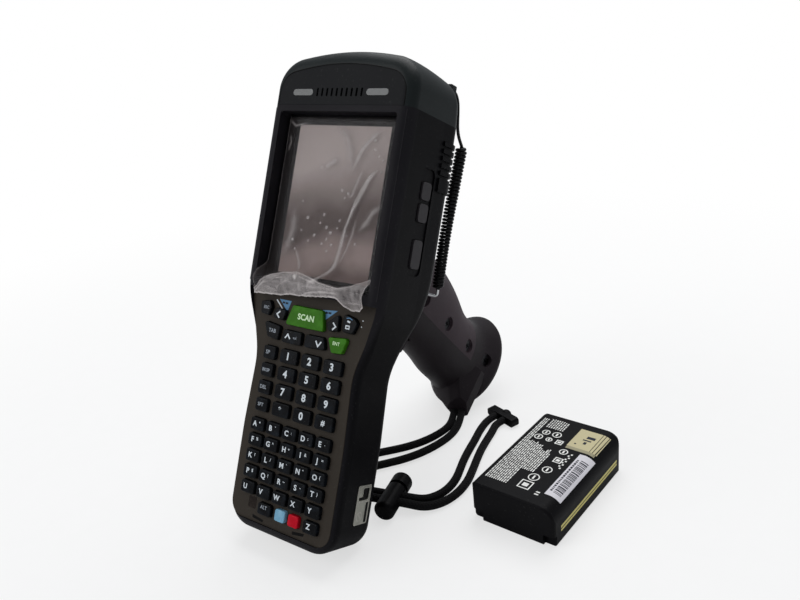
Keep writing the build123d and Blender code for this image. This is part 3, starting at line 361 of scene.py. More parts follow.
finishes = {
    "housing": moulded("housingBlack", (0.0024, 0.0022, 0.003), 0.4, 0.045),
    # the front housing is painted lighter near its face, a painted highlight where the bezel beside the
    # screen catches the light
    "front": moulded("frontBlack", (0.0024, 0.0022, 0.003), 0.4, 0.055, litFaceColour=(0.0145, 0.0135, 0.016)),
    "cap": moulded("capBlack", (0.0066, 0.0094, 0.0099), 0.4, 0.16, depth=0.00004),
    "panel": moulded("panelBlack", (0.0075, 0.0078, 0.009), 0.5, 0.09),
    "plate": moulded("plateBrown", (0.034, 0.0275, 0.0215), 0.5, 0.1, dust=0.5, pale=1.5),
    "grip": moulded("gripGrey", (0.043, 0.031, 0.037), 0.55, 0.1, texture=1900.0, depth=0.00006, dust=0.5),
    "gripFront": moulded("gripFrontBlack", (0.0165, 0.0128, 0.0152), 0.45, 0.1),
    "button": moulded("buttonGrey", (0.026, 0.023, 0.026), 0.4, 0.15),
    "key": glossy("keyBlack", (0.0024, 0.0026, 0.0036), (0.012, 0.017, 0.024)),
    "keyGreen": glossy("keyGreen", (0.033, 0.14, 0.005), (0.07, 0.26, 0.02), 0.34),
    "keyBlue": glossy("keyBlue", (0.17, 0.37, 0.52), (0.3, 0.52, 0.68), 0.3),
    "keyRed": glossy("keyRed", (0.47, 0.0025, 0.014), (0.6, 0.02, 0.04), 0.3),
    "rubber": moulded("matRubber", (0.009, 0.009, 0.0095), 0.7, 0.1),
    "board": boardFinish(),
    "display": displayFinish(),
    "glass": glassFinish(),
    "film": filmFinish(),
    "lens": lensFinish("lightLens", (0.075, 0.079, 0.08), 0.3),
    "window": lensFinish("scanWindow", (0.05, 0.004, 0.006), 0.08),
    "engine": moulded("scanEngine", (0.03, 0.03, 0.033), 0.5),
    "steel": metal("steel", (0.55, 0.55, 0.56), 0.3),
    "darkSteel": metal("darkSteel", (0.02, 0.02, 0.023), 0.42),
    "gold": metal("gold", (0.9, 0.62, 0.24), 0.25),
    "portPlate": metal("portPlate", (0.38, 0.375, 0.33), 0.42, streak=(1.0, 0.06, 0.06)),
    "portFrame": metal("portFrame", (0.46, 0.44, 0.4), 0.38),
    "strand": braided("lanyardBraid", (0.0012, 0.0011, 0.0014), (0.0052, 0.0046, 0.0052)),
    "coil": moulded("coilBlack", (0.004, 0.004, 0.0045), 0.3, 0.15, texture=4000.0, depth=0.00001, dust=0.3),
    "lock": moulded("cordLock", (0.0018, 0.0015, 0.002), 0.34, 0.07),
    "battery": moulded("batteryBlack", (0.0038, 0.0036, 0.0044), 0.42, 0.06, dust=0.4),
    "legend": printFinish("legendWhite", (0.66, 0.71, 0.75), 0.2),
    "legendDim": printFinish("legendDim", (0.3, 0.33, 0.37)),
    "legendGreen": printFinish("legendPaleGreen", (0.62, 0.82, 0.52), 0.15),
    "printBlue": printFinish("plateBlue", (0.1, 0.24, 0.42), 0.1),
    "printDark": printFinish("plateDark", (0.006, 0.01, 0.022)),
    "printWhite": printFinish("batteryPrint", (0.85, 0.85, 0.82), 0.2),
    "stripe": printFinish("stripeYellow", (0.66, 0.58, 0.2), 0.15),
    "paperCream": printFinish("paperCream", (0.56, 0.5, 0.3), 0.12),
    "paperDull": printFinish("paperDull", (0.34, 0.31, 0.2), 0.12),
    "paperWhite": printFinish("paperWhite", (0.68, 0.66, 0.7), 0.1),
    "well": glossy("plateWell", (0.002, 0.002, 0.002), (0.006, 0.005, 0.005), 0.35, 0.08),
    "plateWindow": glossy("plateWindow", (0.012, 0.008, 0.006), (0.03, 0.02, 0.016), 0.25, 0.12),
}

dressing = {  # a node that isn't listed is a black key
    "housing": ["rear_housing", "battery_door", "dock_connector"],
    "front": ["front_housing"],
    "cap": ["head_cap"],
    "panel": ["head_panel"],
    "plate": ["keypad_plate"],
    "grip": ["grip_back_shell", "grip_foot"],
    "gripFront": ["grip_front_shell", "trigger"],
    "button": ["side_button_upper", "side_button_middle", "side_button_lower", "door_latch"],
    "keyGreen": ["key_scan", "key_enter"],
    "keyBlue": ["key_blue"],
    "keyRed": ["key_red"],
    "rubber": ["keypad_mat", "speaker"],
    "board": ["main_board"],
    "display": ["display_module"],
    "glass": ["touch_glass"],
    "lens": ["status_lights"],
    "window": ["scan_window"],
    "engine": ["scan_engine"],
    "darkSteel": ["housing_screws", "trigger_pin"],
    "steel": ["tether_pin"],
    "gold": ["battery_contacts"],
    "portPlate": ["side_port_plate"],
    "lock": ["cord_lock_barrel", "cord_lock_plunger", "lanyard_end_clip"],
    "battery": ["battery_case", "battery_end_cap"],
    "coil": ["tether_coil", "tether_lead"],
    "strand": ["lanyard_strand_left", "lanyard_strand_right"],
    "film": ["protective_film"],
}
finishOf = {node: finish for finish, names in dressing.items() for node in names}
for name, node in nodes.items():
    for held in node.material_slots:
        held.material = finishes[finishOf.get(name, "key")]
bodyOf = {name: body_of(node)[0] for name, node in nodes.items()}
print("CAD nodes dressed")


# small tools for pieces
def placed(name, data):
    piece = bpy.data.objects.new(name, data)
    bpy.context.scene.collection.objects.link(piece)
    return piece


def hold(piece):  # selects one piece alone
    bpy.ops.object.select_all(action="DESELECT")
    piece.select_set(True)
    bpy.context.view_layer.objects.active = piece


def dress(piece, finish, body):
    piece.data.materials.clear()
    piece.data.materials.append(finishes[finish])
    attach(piece, body)
    return piece


def fix(piece, matrix):  # puts a piece modelled on a flat bench into its place
    hold(piece)
    piece.matrix_world = matrix @ piece.matrix_world
    bpy.ops.object.transform_apply(location=True, rotation=True, scale=True)
    return piece


def meshed(piece):
    hold(piece)
    bpy.ops.object.convert(target="MESH")
    return bpy.context.active_object


def thicken(piece, thick):  # gives a sheet a wall, half on each side of it
    hold(piece)
    bpy.ops.object.modifier_add(type="SOLIDIFY")
    wall = piece.modifiers[-1]
    wall.thickness = thick
    wall.offset = 0.0
    bpy.ops.object.modifier_apply(modifier=wall.name)


def joined(pieces, name):
    hold(pieces[0])
    for piece in pieces[1:]:
        piece.select_set(True)
    if len(pieces) > 1:
        bpy.ops.object.join()
    pieces[0].name = name
    return pieces[0]


def smooth(x):  # 0 to 1 without corners
    x = min(1.0, max(0.0, x))
    return x * x * (3 - 2 * x)


def bell(x, power=2):  # 1 at 0, fading to both sides
    return exp(-(abs(x) ** power))


# the head cap's top is domed from front to back, but stays flat round the tether's eyelet
dome = {
    "rise": 2.7, "crest": -15.0, "reach": 17.5, "half": 41.0, "low": 207.0, "high": 224.0,
    "eyelet": (32.2, 221.7, -40.6), "near": 4.5, "far": 11.0,
    "passes": 3, "longest": 4.5, "corner": 28.0,
}


def domeRise(spot):  # how far a spot on the body is lifted, in mm
    rise = dome["rise"] * (1 - ((spot.z - dome["crest"]) / dome["reach"]) ** 2)
    rise *= max(0.0, 1 - (spot.x / dome["half"]) ** 2)
    rise *= smooth((spot.y - dome["low"]) / (dome["high"] - dome["low"]))
    away = (spot - Vector(dome["eyelet"])).length
    return rise * smooth((away - dome["near"]) / (dome["far"] - dome["near"]))


cap = placed("domed_cap", nodes["head_cap"].data.copy())
hold(cap)
for _ in range(dome["passes"]):  # long edges are split, so that the dome has points to bend at
    shape = cap.data
    for edge in shape.edges:
        low, high = (shape.vertices[corner].co for corner in edge.vertices)
        edge.select = (high - low).length > dome["longest"] * mm
    for part in (*shape.vertices, *shape.polygons):
        part.select = False
    bpy.ops.object.mode_set(mode="EDIT")
    bpy.ops.mesh.select_mode(type="EDGE")
    bpy.ops.mesh.subdivide(number_cuts=1)
    bpy.ops.mesh.select_all(action="SELECT")
    bpy.ops.mesh.quads_convert_to_tris()
    bpy.ops.object.mode_set(mode="OBJECT")
unlean = onBody.inverted()
for vertex in cap.data.vertices:
    spot = unlean @ vertex.co / mm
    vertex.co = onBody @ ((spot + Vector((0, domeRise(spot), 0))) * mm)
if cap.data.has_custom_normals:
    bpy.ops.mesh.customdata_custom_splitnormals_clear()
bpy.ops.object.shade_smooth_by_angle(angle=radians(dome["corner"]))
dress(cap, "cap", bodyOf["head_cap"])
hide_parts("head_cap")
print("cap domed,", len(cap.data.polygons), "faces")

# the camera and the light; the focal length and the width are in pixels of the picture
shot = {
    "place": (235.295, -217.839, 249.362), "yaw": -37.1597, "pitch": 22.6635, "roll": 6.2384,
    "focal": 778.388, "wide": 800, "sensor": 36.0, "near": 0.01,
}
yaw, pitch, roll = radians(shot["yaw"]), radians(shot["pitch"]), radians(shot["roll"])
forward = Vector((sin(yaw) * cos(pitch), cos(yaw) * cos(pitch), -sin(pitch)))
level = Vector((cos(yaw), -sin(yaw), 0))
right = level * cos(roll) + forward.cross(level) * sin(roll)
upward = right.cross(forward)
turned = Matrix((right, upward, -forward)).transposed().to_4x4()
camera = placed("camera", bpy.data.cameras.new("camera"))
camera.data.sensor_width = shot["sensor"]
camera.data.lens = shot["focal"] / shot["wide"] * shot["sensor"]
camera.data.clip_start = shot["near"]
camera.matrix_world = Matrix.Translation(Vector(shot["place"]) * mm) @ turned
bpy.context.scene.camera = camera

lamps = {
    "overhead": {"place": (-0.05, 0.45, 0.85), "aim": (0.0, 0.05, 0.12), "size": 0.8, "power": 6.0},
    "front": {"place": (-0.6, -0.8, 0.8), "aim": (0.0, 0.0, 0.1), "size": 0.9, "power": 5.5},
}
for name, lamp in lamps.items():
    bpy.ops.object.light_add(type="AREA", location=lamp["place"])
    light = bpy.context.active_object
    light.name = name
    light.data.size = lamp["size"]
    light.data.energy = lamp["power"]
    aim = Vector(lamp["aim"]) - Vector(lamp["place"])
    light.rotation_euler = aim.to_track_quat("-Z", "Y").to_euler()

studio = {
    "sky": (0.92, 0.96, 1.0), "skyPower": 0.4, "white": (1.0, 1.0, 1.0), "floor": 6.0,
    "paper": ((0.78, 0.78, 0.78), (0.82, 0.82, 0.82)), "paperRough": 0.8,
    "glow": 0.65, "fadeFrom": 0.15, "fadeTo": 0.65,  # the floor turns to plain white away from the object
}
sky = Finish("studio", "worlds")
dim = sky.node("ShaderNodeBackground", {}, {"Color": studio["sky"], "Strength": studio["skyPower"]})
pale = sky.node("ShaderNodeBackground", {}, {"Color": studio["white"]})
sky.node("ShaderNodeOutputWorld", {}, {"Surface": sky.backdrop(dim, pale)})
bpy.context.scene.world = sky.owner

bpy.ops.mesh.primitive_plane_add(size=studio["floor"], location=(0.0, 0.0, 0.0))
floor = bpy.context.active_object
floor.name = "floor"
paper = Finish("floor")
speckle = paper.blend(paper.grain(*patterns["floor"]), *studio["paper"])
matt = paper.node("ShaderNodeBsdfPrincipled", {}, {"Base Color": speckle, "Roughness": studio["paperRough"]})
glow = paper.node("ShaderNodeEmission", {}, {"Color": studio["white"], "Strength": 1.0})
away = paper.node("ShaderNodeVectorMath", {"operation": "LENGTH"}, {0: paper.place()}, "Value")
share = away.between(studio["fadeFrom"], studio["fadeTo"]) * (1 - studio["glow"]) + studio["glow"]
faded = paper.node("ShaderNodeMixShader", {}, {0: share, 1: matt, 2: glow})
paper.node("ShaderNodeOutputMaterial", {}, {"Surface": paper.backdrop(matt, faded)})
floor.data.materials.append(paper.owner)
bpy.context.scene.view_settings.view_transform = "Standard"
print("camera, light and floor set")


# cords
def onTerminal(points):
    return [onBody @ (Vector(point) * mm) for point in points]


def onFloor(points):
    return [Vector(point) * mm for point in points]


def spline(name, points, radius, resolution=6, sides=4):
    curve = bpy.data.curves.new(name, "CURVE")
    curve.dimensions = "3D"
    line = curve.splines.new("NURBS")
    line.points.add(len(points) - 1)
    for held, point in zip(line.points, points):
        held.co = (*point, 1.0)
    line.order_u = 3
    line.use_endpoint_u = True
    line.resolution_u = resolution
    curve.resolution_u = resolution
    curve.bevel_depth = radius
    curve.bevel_resolution = sides
    curve.use_fill_caps = radius > 0
    return placed(name, curve)


def traced(points):  # the smooth line that a few points pull, as a list of many
    axis = spline("axis", points, 0.0, resolution=24)
    bpy.context.view_layer.update()
    mesh = bpy.data.meshes.new_from_object(axis.evaluated_get(bpy.context.evaluated_depsgraph_get()))
    line = [vertex.co.copy() for vertex in mesh.vertices]
    bpy.data.meshes.remove(mesh)
    bpy.data.objects.remove(axis)
    return line


def lengthOf(line):
    return sum((high - low).length for low, high in zip(line, line[1:]))


def walk(line, steps):  # evenly spaced places and directions from end to end
    step = lengthOf(line) / steps * 0.99999  # a touch short, so that the last place is still on the line
    made, carried = [], 0.0
    for low, high in zip(line, line[1:]):
        run = (high - low).length
        while carried <= run:
            made.append((low.lerp(high, carried / run), (high - low).normalized()))
            carried += step
        carried -= run
    return made


def lineAt(pairs, x):  # the height at x of straight lines through pairs
    for (x0, y0), (x1, y1) in zip(pairs, pairs[1:]):
        if x <= x1:
            return y0 + (y1 - y0) * max(0.0, (x - x0) / (x1 - x0))
    return pairs[-1][1]


lanyard = {
    "radius": 2.2,
    "left": {
        "length": 0.2512,
        "through": "cord_lock_barrel",
        "route": [
            (9.9, 121.2, 3.6), (12.8, 114.8, 2.8), (14.9, 107.0, 2.3), (13.6, 97.0, 2.3), (9.8, 86.8, 2.3),
            (4.0, 77.8, 2.3), (-3.4, 69.8, 2.3), (-10.8, 62.2, 2.3), (-16.6, 53.8, 2.3), (-18.4, 44.4, 2.3),
            (-14.6, 36.0, 2.3), (-6.8, 30.4, 2.3), (1.8, 28.0, 3.0), (10.2, 27.5, 5.0), (18.9, 29.3, 5.5),
            (34.9, 33.0, 5.3), (43.2, 37.2, 2.8), (49.2, 45.0, 2.3), (51.8, 54.8, 2.3), (51.4, 65.4, 2.3),
            (48.9, 75.2, 2.3), (46.0, 84.8, 2.3), (43.4, 94.4, 2.3), (41.6, 104.2, 2.3), (40.2, 113.6, 2.4),
            (38.5, 121.0, 2.6), (40.6, 126.6, 2.6),
        ],
    },
    "right": {
        "length": 0.2333,
        "through": "cord_lock_plunger",
        "route": [
            (14.1, 123.1, 3.6), (17.0, 116.7, 2.8), (20.2, 106.0, 2.3), (20.5, 96.4, 2.3), (18.5, 86.4, 2.3),
            (14.8, 76.4, 2.3), (9.4, 67.2, 2.3), (2.8, 59.4, 2.3), (-3.6, 52.0, 2.3), (-7.8, 44.4, 2.3),
            (-6.2, 37.4, 2.3), (0.8, 33.7, 2.9), (9.3, 32.5, 5.0), (17.9, 33.8, 5.5), (33.9, 37.5, 5.3),
            (40.2, 42.4, 2.8), (44.2, 49.6, 2.3), (45.6, 57.8, 2.3), (44.6, 66.2, 2.3), (42.0, 74.4, 2.3),
            (39.4, 82.8, 2.3), (37.3, 92.2, 2.3), (35.4, 102.0, 2.3), (33.1, 111.6, 2.4), (32.0, 123.4, 2.6),
            (34.05, 129.07, 2.6),
        ],
    },
}

for side in ("left", "right"):
    route = onFloor(lanyard[side]["route"])
    strand = spline(f"lanyard_{side}", route, lanyard["radius"] * mm)
    dress(strand, "strand", "terminal")
    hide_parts(f"lanyard_strand_{side}")

tether = {
    "radius": 0.8,
    "turns": 42,
    "pointsPerTurn": 12,
    "helix": 2.35,
    "length": 0.6203,
    "lead": [
        (32.4, 224.0, -42.2), (32.4, 224.0, -44.8), (33.5, 220.4, -46.4), (34.4, 216.0, -46.4),
        (34.6, 211.6, -47.2), (34.0, 207.4, -49.4), (33.5, 203.8, -52.6),
    ],
    "coil": [
        (33.5, 200.5, -57.0), (31.4, 183.0, -59.6), (28.8, 165.0, -62.6), (26.2, 146.0, -66.6),
        (24.0, 128.5, -71.4),
    ],
}
stations = walk(traced(onTerminal(tether["coil"])), tether["turns"] * tether["pointsPerTurn"])
outward = onBody.to_3x3() @ Vector((0, 0, 1))
helix = []
for count, (point, heading) in enumerate(stations):
    outward = (outward - heading * outward.dot(heading)).normalized()
    turn = 2 * pi * count / tether["pointsPerTurn"]
    arm = outward * cos(turn) + heading.cross(outward) * sin(turn)
    wound = smooth(min(count, len(stations) - 1 - count) / tether["pointsPerTurn"])
    helix.append(point + arm * tether["helix"] * wound * mm)
tetherPoints = [*onTerminal(tether["lead"]), *helix[1:]]
tetherCord = spline("tether_cord", tetherPoints, tether["radius"] * mm, resolution=3, sides=2)
dress(tetherCord, "coil", "terminal")
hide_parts("tether_lead", "tether_coil")
print("cords laid,", len(tetherPoints), "points in the tether")

# the joint between the head panel and the cap, seen as a dark line
seam = {
    "radius": 0.24,
    "half": [
        (-37.0, 205.0, 2.16), (-37.0, 210.2, 2.16), (-36.6, 213.4, 2.2), (-35.5, 215.9, 2.3),
        (-33.8, 218.0, 2.45), (-31.3, 219.8, 2.5), (-28.0, 220.8, 2.5), (-21.0, 222.0, 2.5),
        (-14.0, 223.0, 2.5), (-7.0, 223.6, 2.5),
    ],
    "middle": (0.0, 223.8, 2.5),
}
seamPoints = [*seam["half"], seam["middle"], *[(-x, v, w) for x, v, w in reversed(seam["half"])]]
panelSeam = meshed(spline("panel_seam", onTerminal(seamPoints), seam["radius"] * mm))
dress(panelSeam, "well", "terminal")

# the protective film, still on the display and lifted at its lower end
film = {
    "flat": (0.0664, 0.0905),
    "thick": 0.00012,
    "columns": 176,
    "rows": 250,
    "half": 33.2,
    "line": [
        (200.3, -3.6), (131.5, -3.6), (127.6, -2.2), (124.2, 2.6), (121.5, 4.2), (118.4, 3.9), (112.6, 1.0),
    ],
    "lowerEdge": [
        (-33.2, 113.0), (-25.0, 113.6), (-16.0, 114.2), (-10.8, 115.3), (-1.0, 115.8), (8.5, 117.0),
        (16.0, 117.8), (19.0, 117.4), (22.7, 114.2), (26.8, 113.0), (31.3, 113.4), (33.2, 115.6),
    ],
    "crest": [
        (-33.2, 115.0), (-29.0, 119.1), (-23.2, 122.7), (-16.5, 125.0), (-9.1, 126.0), (-0.7, 124.7),
        (6.9, 122.9), (14.2, 122.1), (18.9, 121.8), (25.4, 123.6), (33.2, 129.1),
    ],
    "ripples": {  # how fast each one changes across, with a slant, and along; and its layer of the noise
        "broad": (0.11, 0.0, 0.2, 3.1),
        "small": (0.33, 0.0, 0.42, 7.7),
        "fold": (0.16, 0.1, 0.06, 1.3),
        "streak": (0.55, -0.2, 0.12, 9.1),
    },
    "lift": {"from": 69.0, "over": 9.0, "height": 1.0, "wave": 0.8, "fold": 0.35, "lying": 0.06},
    "milk": {"lying": 0.035, "lifted": 0.38, "wave": 0.16, "streak": 0.1, "least": 0.02, "most": 0.95},
    "corner": {"from": 18.0, "over": 6.0, "milk": -0.07},
    "fold": {"wide": 0.3, "over": 1.6, "milk": 0.36},  # a painted highlight along the crest, its width and strength; and how softly the lifted part begins
    # a painted highlight along the lower edge of the lifted part
    "lowerEdgeHighlight": {"from": 0.988, "over": 1 / 120, "milk": 0.45},
    "sides": {"wide": 0.6, "over": 0.4, "milk": 0.22},
    "creases": [  # width, milkiness and the points that it follows
        (1.1, 0.34, [(21.7, 193.9), (18.5, 191.3), (13.9, 185.6), (10.0, 176.3)]),
        (1.7, 0.22, [(-1.0, 195.9), (4.0, 191.3), (7.0, 185.4), (8.4, 178.5)]),
        (0.7, 0.42, [
            (23.7, 176.5), (21.0, 173.2), (17.4, 165.2), (14.2, 158.1), (11.3, 149.5), (10.5, 141.6),
        ]),
        (1.1, 0.36, [(11.2, 147.5), (10.5, 141.6), (8.9, 132.1), (4.4, 124.5), (1.2, 122.2)]),
        (0.6, 0.34, [(22.0, 176.0), (18.6, 170.8), (14.6, 162.3), (12.2, 152.5)]),
        (0.8, 0.26, [(15.9, 175.7), (14.0, 171.0), (12.3, 164.9), (10.2, 163.8)]),
        (1.3, 0.28, [(29.0, 160.6), (25.2, 157.6), (23.2, 153.4), (20.0, 149.4)]),
        (0.7, 0.22, [(16.5, 152.8), (15.9, 146.8), (13.9, 139.6), (11.5, 133.8)]),
        (2.2, 0.22, [(-21.2, 154.3), (-20.2, 146.6), (-21.6, 140.6), (-23.1, 135.5)]),
        (0.7, 0.26, [(-16.2, 136.3), (-13.1, 130.9), (-10.3, 126.4)]),
        (0.5, 0.3, [(-32.6, 198.8), (-29.0, 196.0), (-22.0, 197.5)]),
        (0.5, 0.22, [(-31.5, 191.5), (-30.4, 188.0), (-31.4, 184.0)]),
        (1.6, 0.3, [(-6.2, 176.6), (-3.0, 179.0), (0.3, 180.4)]),
    ],
    "ridges": [  # the sharper ones on the lifted part
        (0.28, 0.2, [(-27.6, 117.9), (-22.2, 120.3), (-16.7, 122.4), (-14.7, 122.4)]),
        (0.25, 0.16, [(-27.4, 117.0), (-23.6, 117.2), (-19.3, 115.9), (-17.7, 115.8)]),
        (0.4, 0.16, [(-18.2, 115.7), (-16.7, 118.1), (-14.6, 119.9), (-11.1, 121.6)]),
        (0.5, 0.55, [(-9.1, 124.4), (-8.1, 123.5), (-7.4, 122.7)]),
        (0.3, 0.24, [(-7.3, 124.5), (-1.8, 123.4), (3.0, 122.6), (4.9, 122.5)]),
        (0.4, 0.34, [(-2.6, 115.8), (2.2, 117.7), (8.5, 118.7), (14.7, 119.3), (19.6, 119.3)]),
        (0.5, 0.14, [(-0.2, 120.0), (5.3, 120.3), (12.2, 120.7), (16.7, 120.6)]),
        (0.35, 0.2, [(24.1, 116.4), (29.3, 116.5), (33.2, 116.6)]),
        (0.35, -0.22, [(30.2, 123.2), (31.2, 120.9), (31.1, 118.2)]),
        (0.5, -0.16, [(28.2, 122.2), (29.6, 119.7), (32.5, 118.0)]),
        (0.35, 0.26, [(-33.1, 113.6), (-30.4, 115.5), (-28.0, 117.7), (-24.2, 120.1)]),
        (0.8, -0.14, [(-26.0, 119.0), (-20.5, 121.0), (-15.5, 121.4)]),
    ],
    "creaseRise": 0.25,
    "ends": {"height": 0.35, "over": 0.2},  # a crease fades to its ends
    "bubble": {"least": 0.38, "more": 0.6, "reach": 1.2, "rise": 0.22, "milk": 0.6},
    "bubbles": [
        (-16.8, 160.2), (-15.0, 146.1), (-17.2, 136.9), (-4.0, 150.5), (-6.5, 144.5), (-1.2, 140.9),
        (1.1, 143.3), (3.1, 146.4), (4.5, 141.0), (2.4, 137.8), (-9.7, 141.6), (5.9, 166.6), (8.1, 163.2),
        (9.8, 165.4), (21.2, 186.1), (23.9, 183.0), (26.5, 181.5), (-8.6, 176.8), (26.6, 176.2),
        (20.5, 190.2), (12.8, 146.0), (-2.4, 154.6), (6.6, 148.9), (0.2, 148.8), (-12.2, 152.4),
        (18.2, 142.8), (-19.4, 141.2), (7.3, 152.6),
    ],
}


def nearness(spot, points):  # how far a spot is from a line through points, and how far along that is
    best, share = 1e9, 0.0
    for count, (low, high) in enumerate(zip(points, points[1:])):
        low, high = Vector(low), Vector(high)
        t = min(1.0, max(0.0, (spot - low).dot(high - low) / (high - low).length_squared))
        reach = (spot - low.lerp(high, t)).length
        if reach < best:
            best, share = reach, (count + t) / (len(points) - 1)
    return best, share


def ripple(kind, x, long):
    across, slant, along, layer = film["ripples"][kind]
    return noise.noise(Vector((x * across + long * slant, long * along, layer)))


def marks(spot):  # the milkiness and height that creases, ridges and bubbles add at a spot
    whiteness, rise, ends, bubble = 0.0, 0.0, film["ends"], film["bubble"]
    for wide, depth, points in film["creases"] + film["ridges"]:
        reach, part = nearness(spot, points)
        if reach < 3 * wide:
            taper = ends["height"] + (1 - ends["height"]) * smooth(min(part, 1 - part) / ends["over"])
            near = bell(reach / wide) * taper
            whiteness += depth * near
            rise += film["creaseRise"] * near * (1.0 if depth > 0 else -1.0)
    for centre in film["bubbles"]:
        reach = (spot - Vector(centre)).length
        if reach < bubble["reach"]:
            size = bubble["least"] + bubble["more"] * abs(noise.noise(Vector((*centre, 0.0))))
            swell = bell(reach / size, 4)
            rise += bubble["rise"] * swell
            whiteness += bubble["milk"] * swell
    return whiteness, rise


filmLine = traced([Vector((0, v * mm, w * mm)) for v, w in film["line"]])
filmLong = lengthOf(filmLine)
filmStations = walk(filmLine, film["rows"])
bpy.ops.mesh.primitive_grid_add(x_subdivisions=film["columns"], y_subdivisions=film["rows"], size=1.0)
sheet = bpy.context.active_object
sheet.name = "protective_sheet"
shortest = film["line"][-1][0]
lift, milky, corner = film["lift"], film["milk"], film["corner"]
fold, lowerEdgeHighlight, sides = film["fold"], film["lowerEdgeHighlight"], film["sides"]
milk = []
for vertex in sheet.data.vertices:
    x = vertex.co.x * 2 * film["half"]
    cut = max(0.0, (lineAt(film["lowerEdge"], x) - shortest) / filmLong * mm)
    share = (0.5 - vertex.co.y) * (1 - cut)  # 0 at the top edge, 1 at the lowest point of the lower one
    point = filmStations[min(len(filmStations) - 1, round(share * (len(filmStations) - 1)))][0]
    v, long = point.y / mm, share * filmLong / mm
    whiteness, rise = marks(Vector((x, v)))
    wave = ripple("broad", x, long) + 0.5 * ripple("small", x, long)
    folded = max(0.0, 1 - 4 * abs(ripple("fold", x, long)))
    height = lift["height"] + lift["wave"] * wave + lift["fold"] * folded
    rise += smooth((long - lift["from"]) / lift["over"]) * height + lift["lying"] * max(0.0, wave)
    over = lineAt(film["crest"], x) - v
    flap = smooth(over / fold["over"] + 0.5)
    shade = milky["lifted"] + milky["wave"] * wave + milky["streak"] * ripple("streak", x, long)
    shade += corner["milk"] * smooth((x - corner["from"]) / corner["over"])
    # the crest of the lifted part gets a painted highlight
    whiteness += milky["lying"] + shade * flap + fold["milk"] * bell(over / fold["wide"])
    # the lower edge of the lifted part gets a painted highlight
    whiteness += lowerEdgeHighlight["milk"] * smooth((share - lowerEdgeHighlight["from"] * (1 - cut)) / lowerEdgeHighlight["over"]) * flap
    whiteness += sides["milk"] * smooth((abs(x) - film["half"] + sides["wide"]) / sides["over"])
    milk.append(min(milky["most"], max(milky["least"], whiteness)))
    vertex.co = (x * mm, point.y, point.z + rise * mm)
sheet.data.attributes.new("milk", "FLOAT", "POINT").data.foreach_set("value", milk)
thicken(sheet, film["thick"])
fix(sheet, onBody)
bpy.ops.object.shade_smooth()
dress(sheet, "film", "terminal")
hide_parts("protective_film")
print("film laid")

# key legends and print
legends = {  # by finish and node: text, across, along and height
    "legendGreen": {"key_scan": [("SCAN", -0.7, 105.6, 2.8)], "key_enter": [("ENT", 19.2, 97.0, 1.6)]},
    "legendDim": {
        "key_escape": [("ESC", -26.2, 107.0, 1.5)],
        "key_tab": [("TAB", -20.2, 96.5, 1.8)],
        "key_up": [("vol", -5.6, 95.3, 1.3)],
        "function_keys": [
            ("SP", -20.9, 86.0, 1.9), ("BKSP", -20.4, 77.4, 1.6), ("DEL", -20.5, 69.1, 1.8),
            ("SFT", -20.4, 60.6, 1.7),
        ],
        "bottom_keys": [("ALT", -8.3, 13.6, 1.7)],
    },
    "legend": {"bottom_keys": [("Z", 19.6, 13.0, 2.5)]},
}
digits = {
    "nodes": ["123", "456", "789", "row0"], "texts": ["123", "456", "789", "*0#"],
    "start": (-8.0, 86.0), "step": (13.38, 8.49), "height": 3.5, "signHeight": 2.6,
}
letters = {
    "texts": ["ABCDE", "FGHIJ", "KLMNO", "PQRST", "UVWXY"],
    "marks": ["*':;.", "%^+&=", "?/'\"(", "$!~-)", ""],
    "start": (-22.0, 50.9), "markStart": (-19.0, 51.6), "step": (10.25, 7.66),
    "height": 2.55, "signHeight": 1.5,
}
chevrons = {  # points across and along
    "key_left": [(-17.0, 106.4), (-18.9, 104.8), (-17.2, 103.2)],
    "key_right": [(15.6, 106.2), (17.4, 104.5), (15.7, 102.9)],
    "key_up": [(-11.6, 94.4), (-10.1, 96.4), (-8.5, 94.4)],
    "key_down": [(7.3, 96.4), (8.9, 94.0), (10.6, 96.4)],
}
power = {
    "bar": [(23.5, 108.1), (25.2, 107.8)],
    "frame": [(22.9, 25.3, 104.5, 106.3), (23.4, 24.8, 105.0, 105.8)],
    "arc": [(22.9, 109.3), (24.6, 109.7), (26.2, 109.0)],
}
ink = {  # bold spreads letters of full height by that much, and smaller ones by less
    "thick": 0.03, "body": 1.38, "bold": 0.00016, "full": 3.2, "curve": 3,
    "chevron": 0.7, "bar": 0.8, "arc": 0.35,
}


def rowOf(keys, text, row, start):  # one sign on each key of a row
    return [
        (
            sign, start[0] + keys["step"][0] * column, start[1] - keys["step"][1] * row,
            keys["height" if sign.isalnum() else "signHeight"],
        )
        for column, sign in enumerate(text)
    ]


for row, (text, node) in enumerate(zip(digits["texts"], digits["nodes"])):
    legends["legend"][f"digit_keys_{node}"] = rowOf(digits, text, row, digits["start"])
for row, (text, signs) in enumerate(zip(letters["texts"], letters["marks"])):
    legends["legend"][f"letter_keys_{text[0].lower()}_to_{text[-1].lower()}"] = [
        *rowOf(letters, text, row, letters["start"]), *rowOf(letters, signs, row, letters["markStart"]),
    ]


def letter(text, across, along, height):
    bpy.ops.object.text_add(location=(0, 0, 0))
    made = bpy.context.active_object
    made.data.body = text
    made.data.size = height * mm * ink["body"]
    made.data.align_x = "CENTER"
    made.data.align_y = "CENTER"
    made.data.extrude = ink["thick"] * mm / 2
    made.data.offset = ink["bold"] * min(1.0, (height / ink["full"]) ** 2)
    made.data.resolution_u = ink["curve"]
    return fix(meshed(made), onBody @ Matrix.Translation(Vector((across, along, ink["thick"] / 2)) * mm))


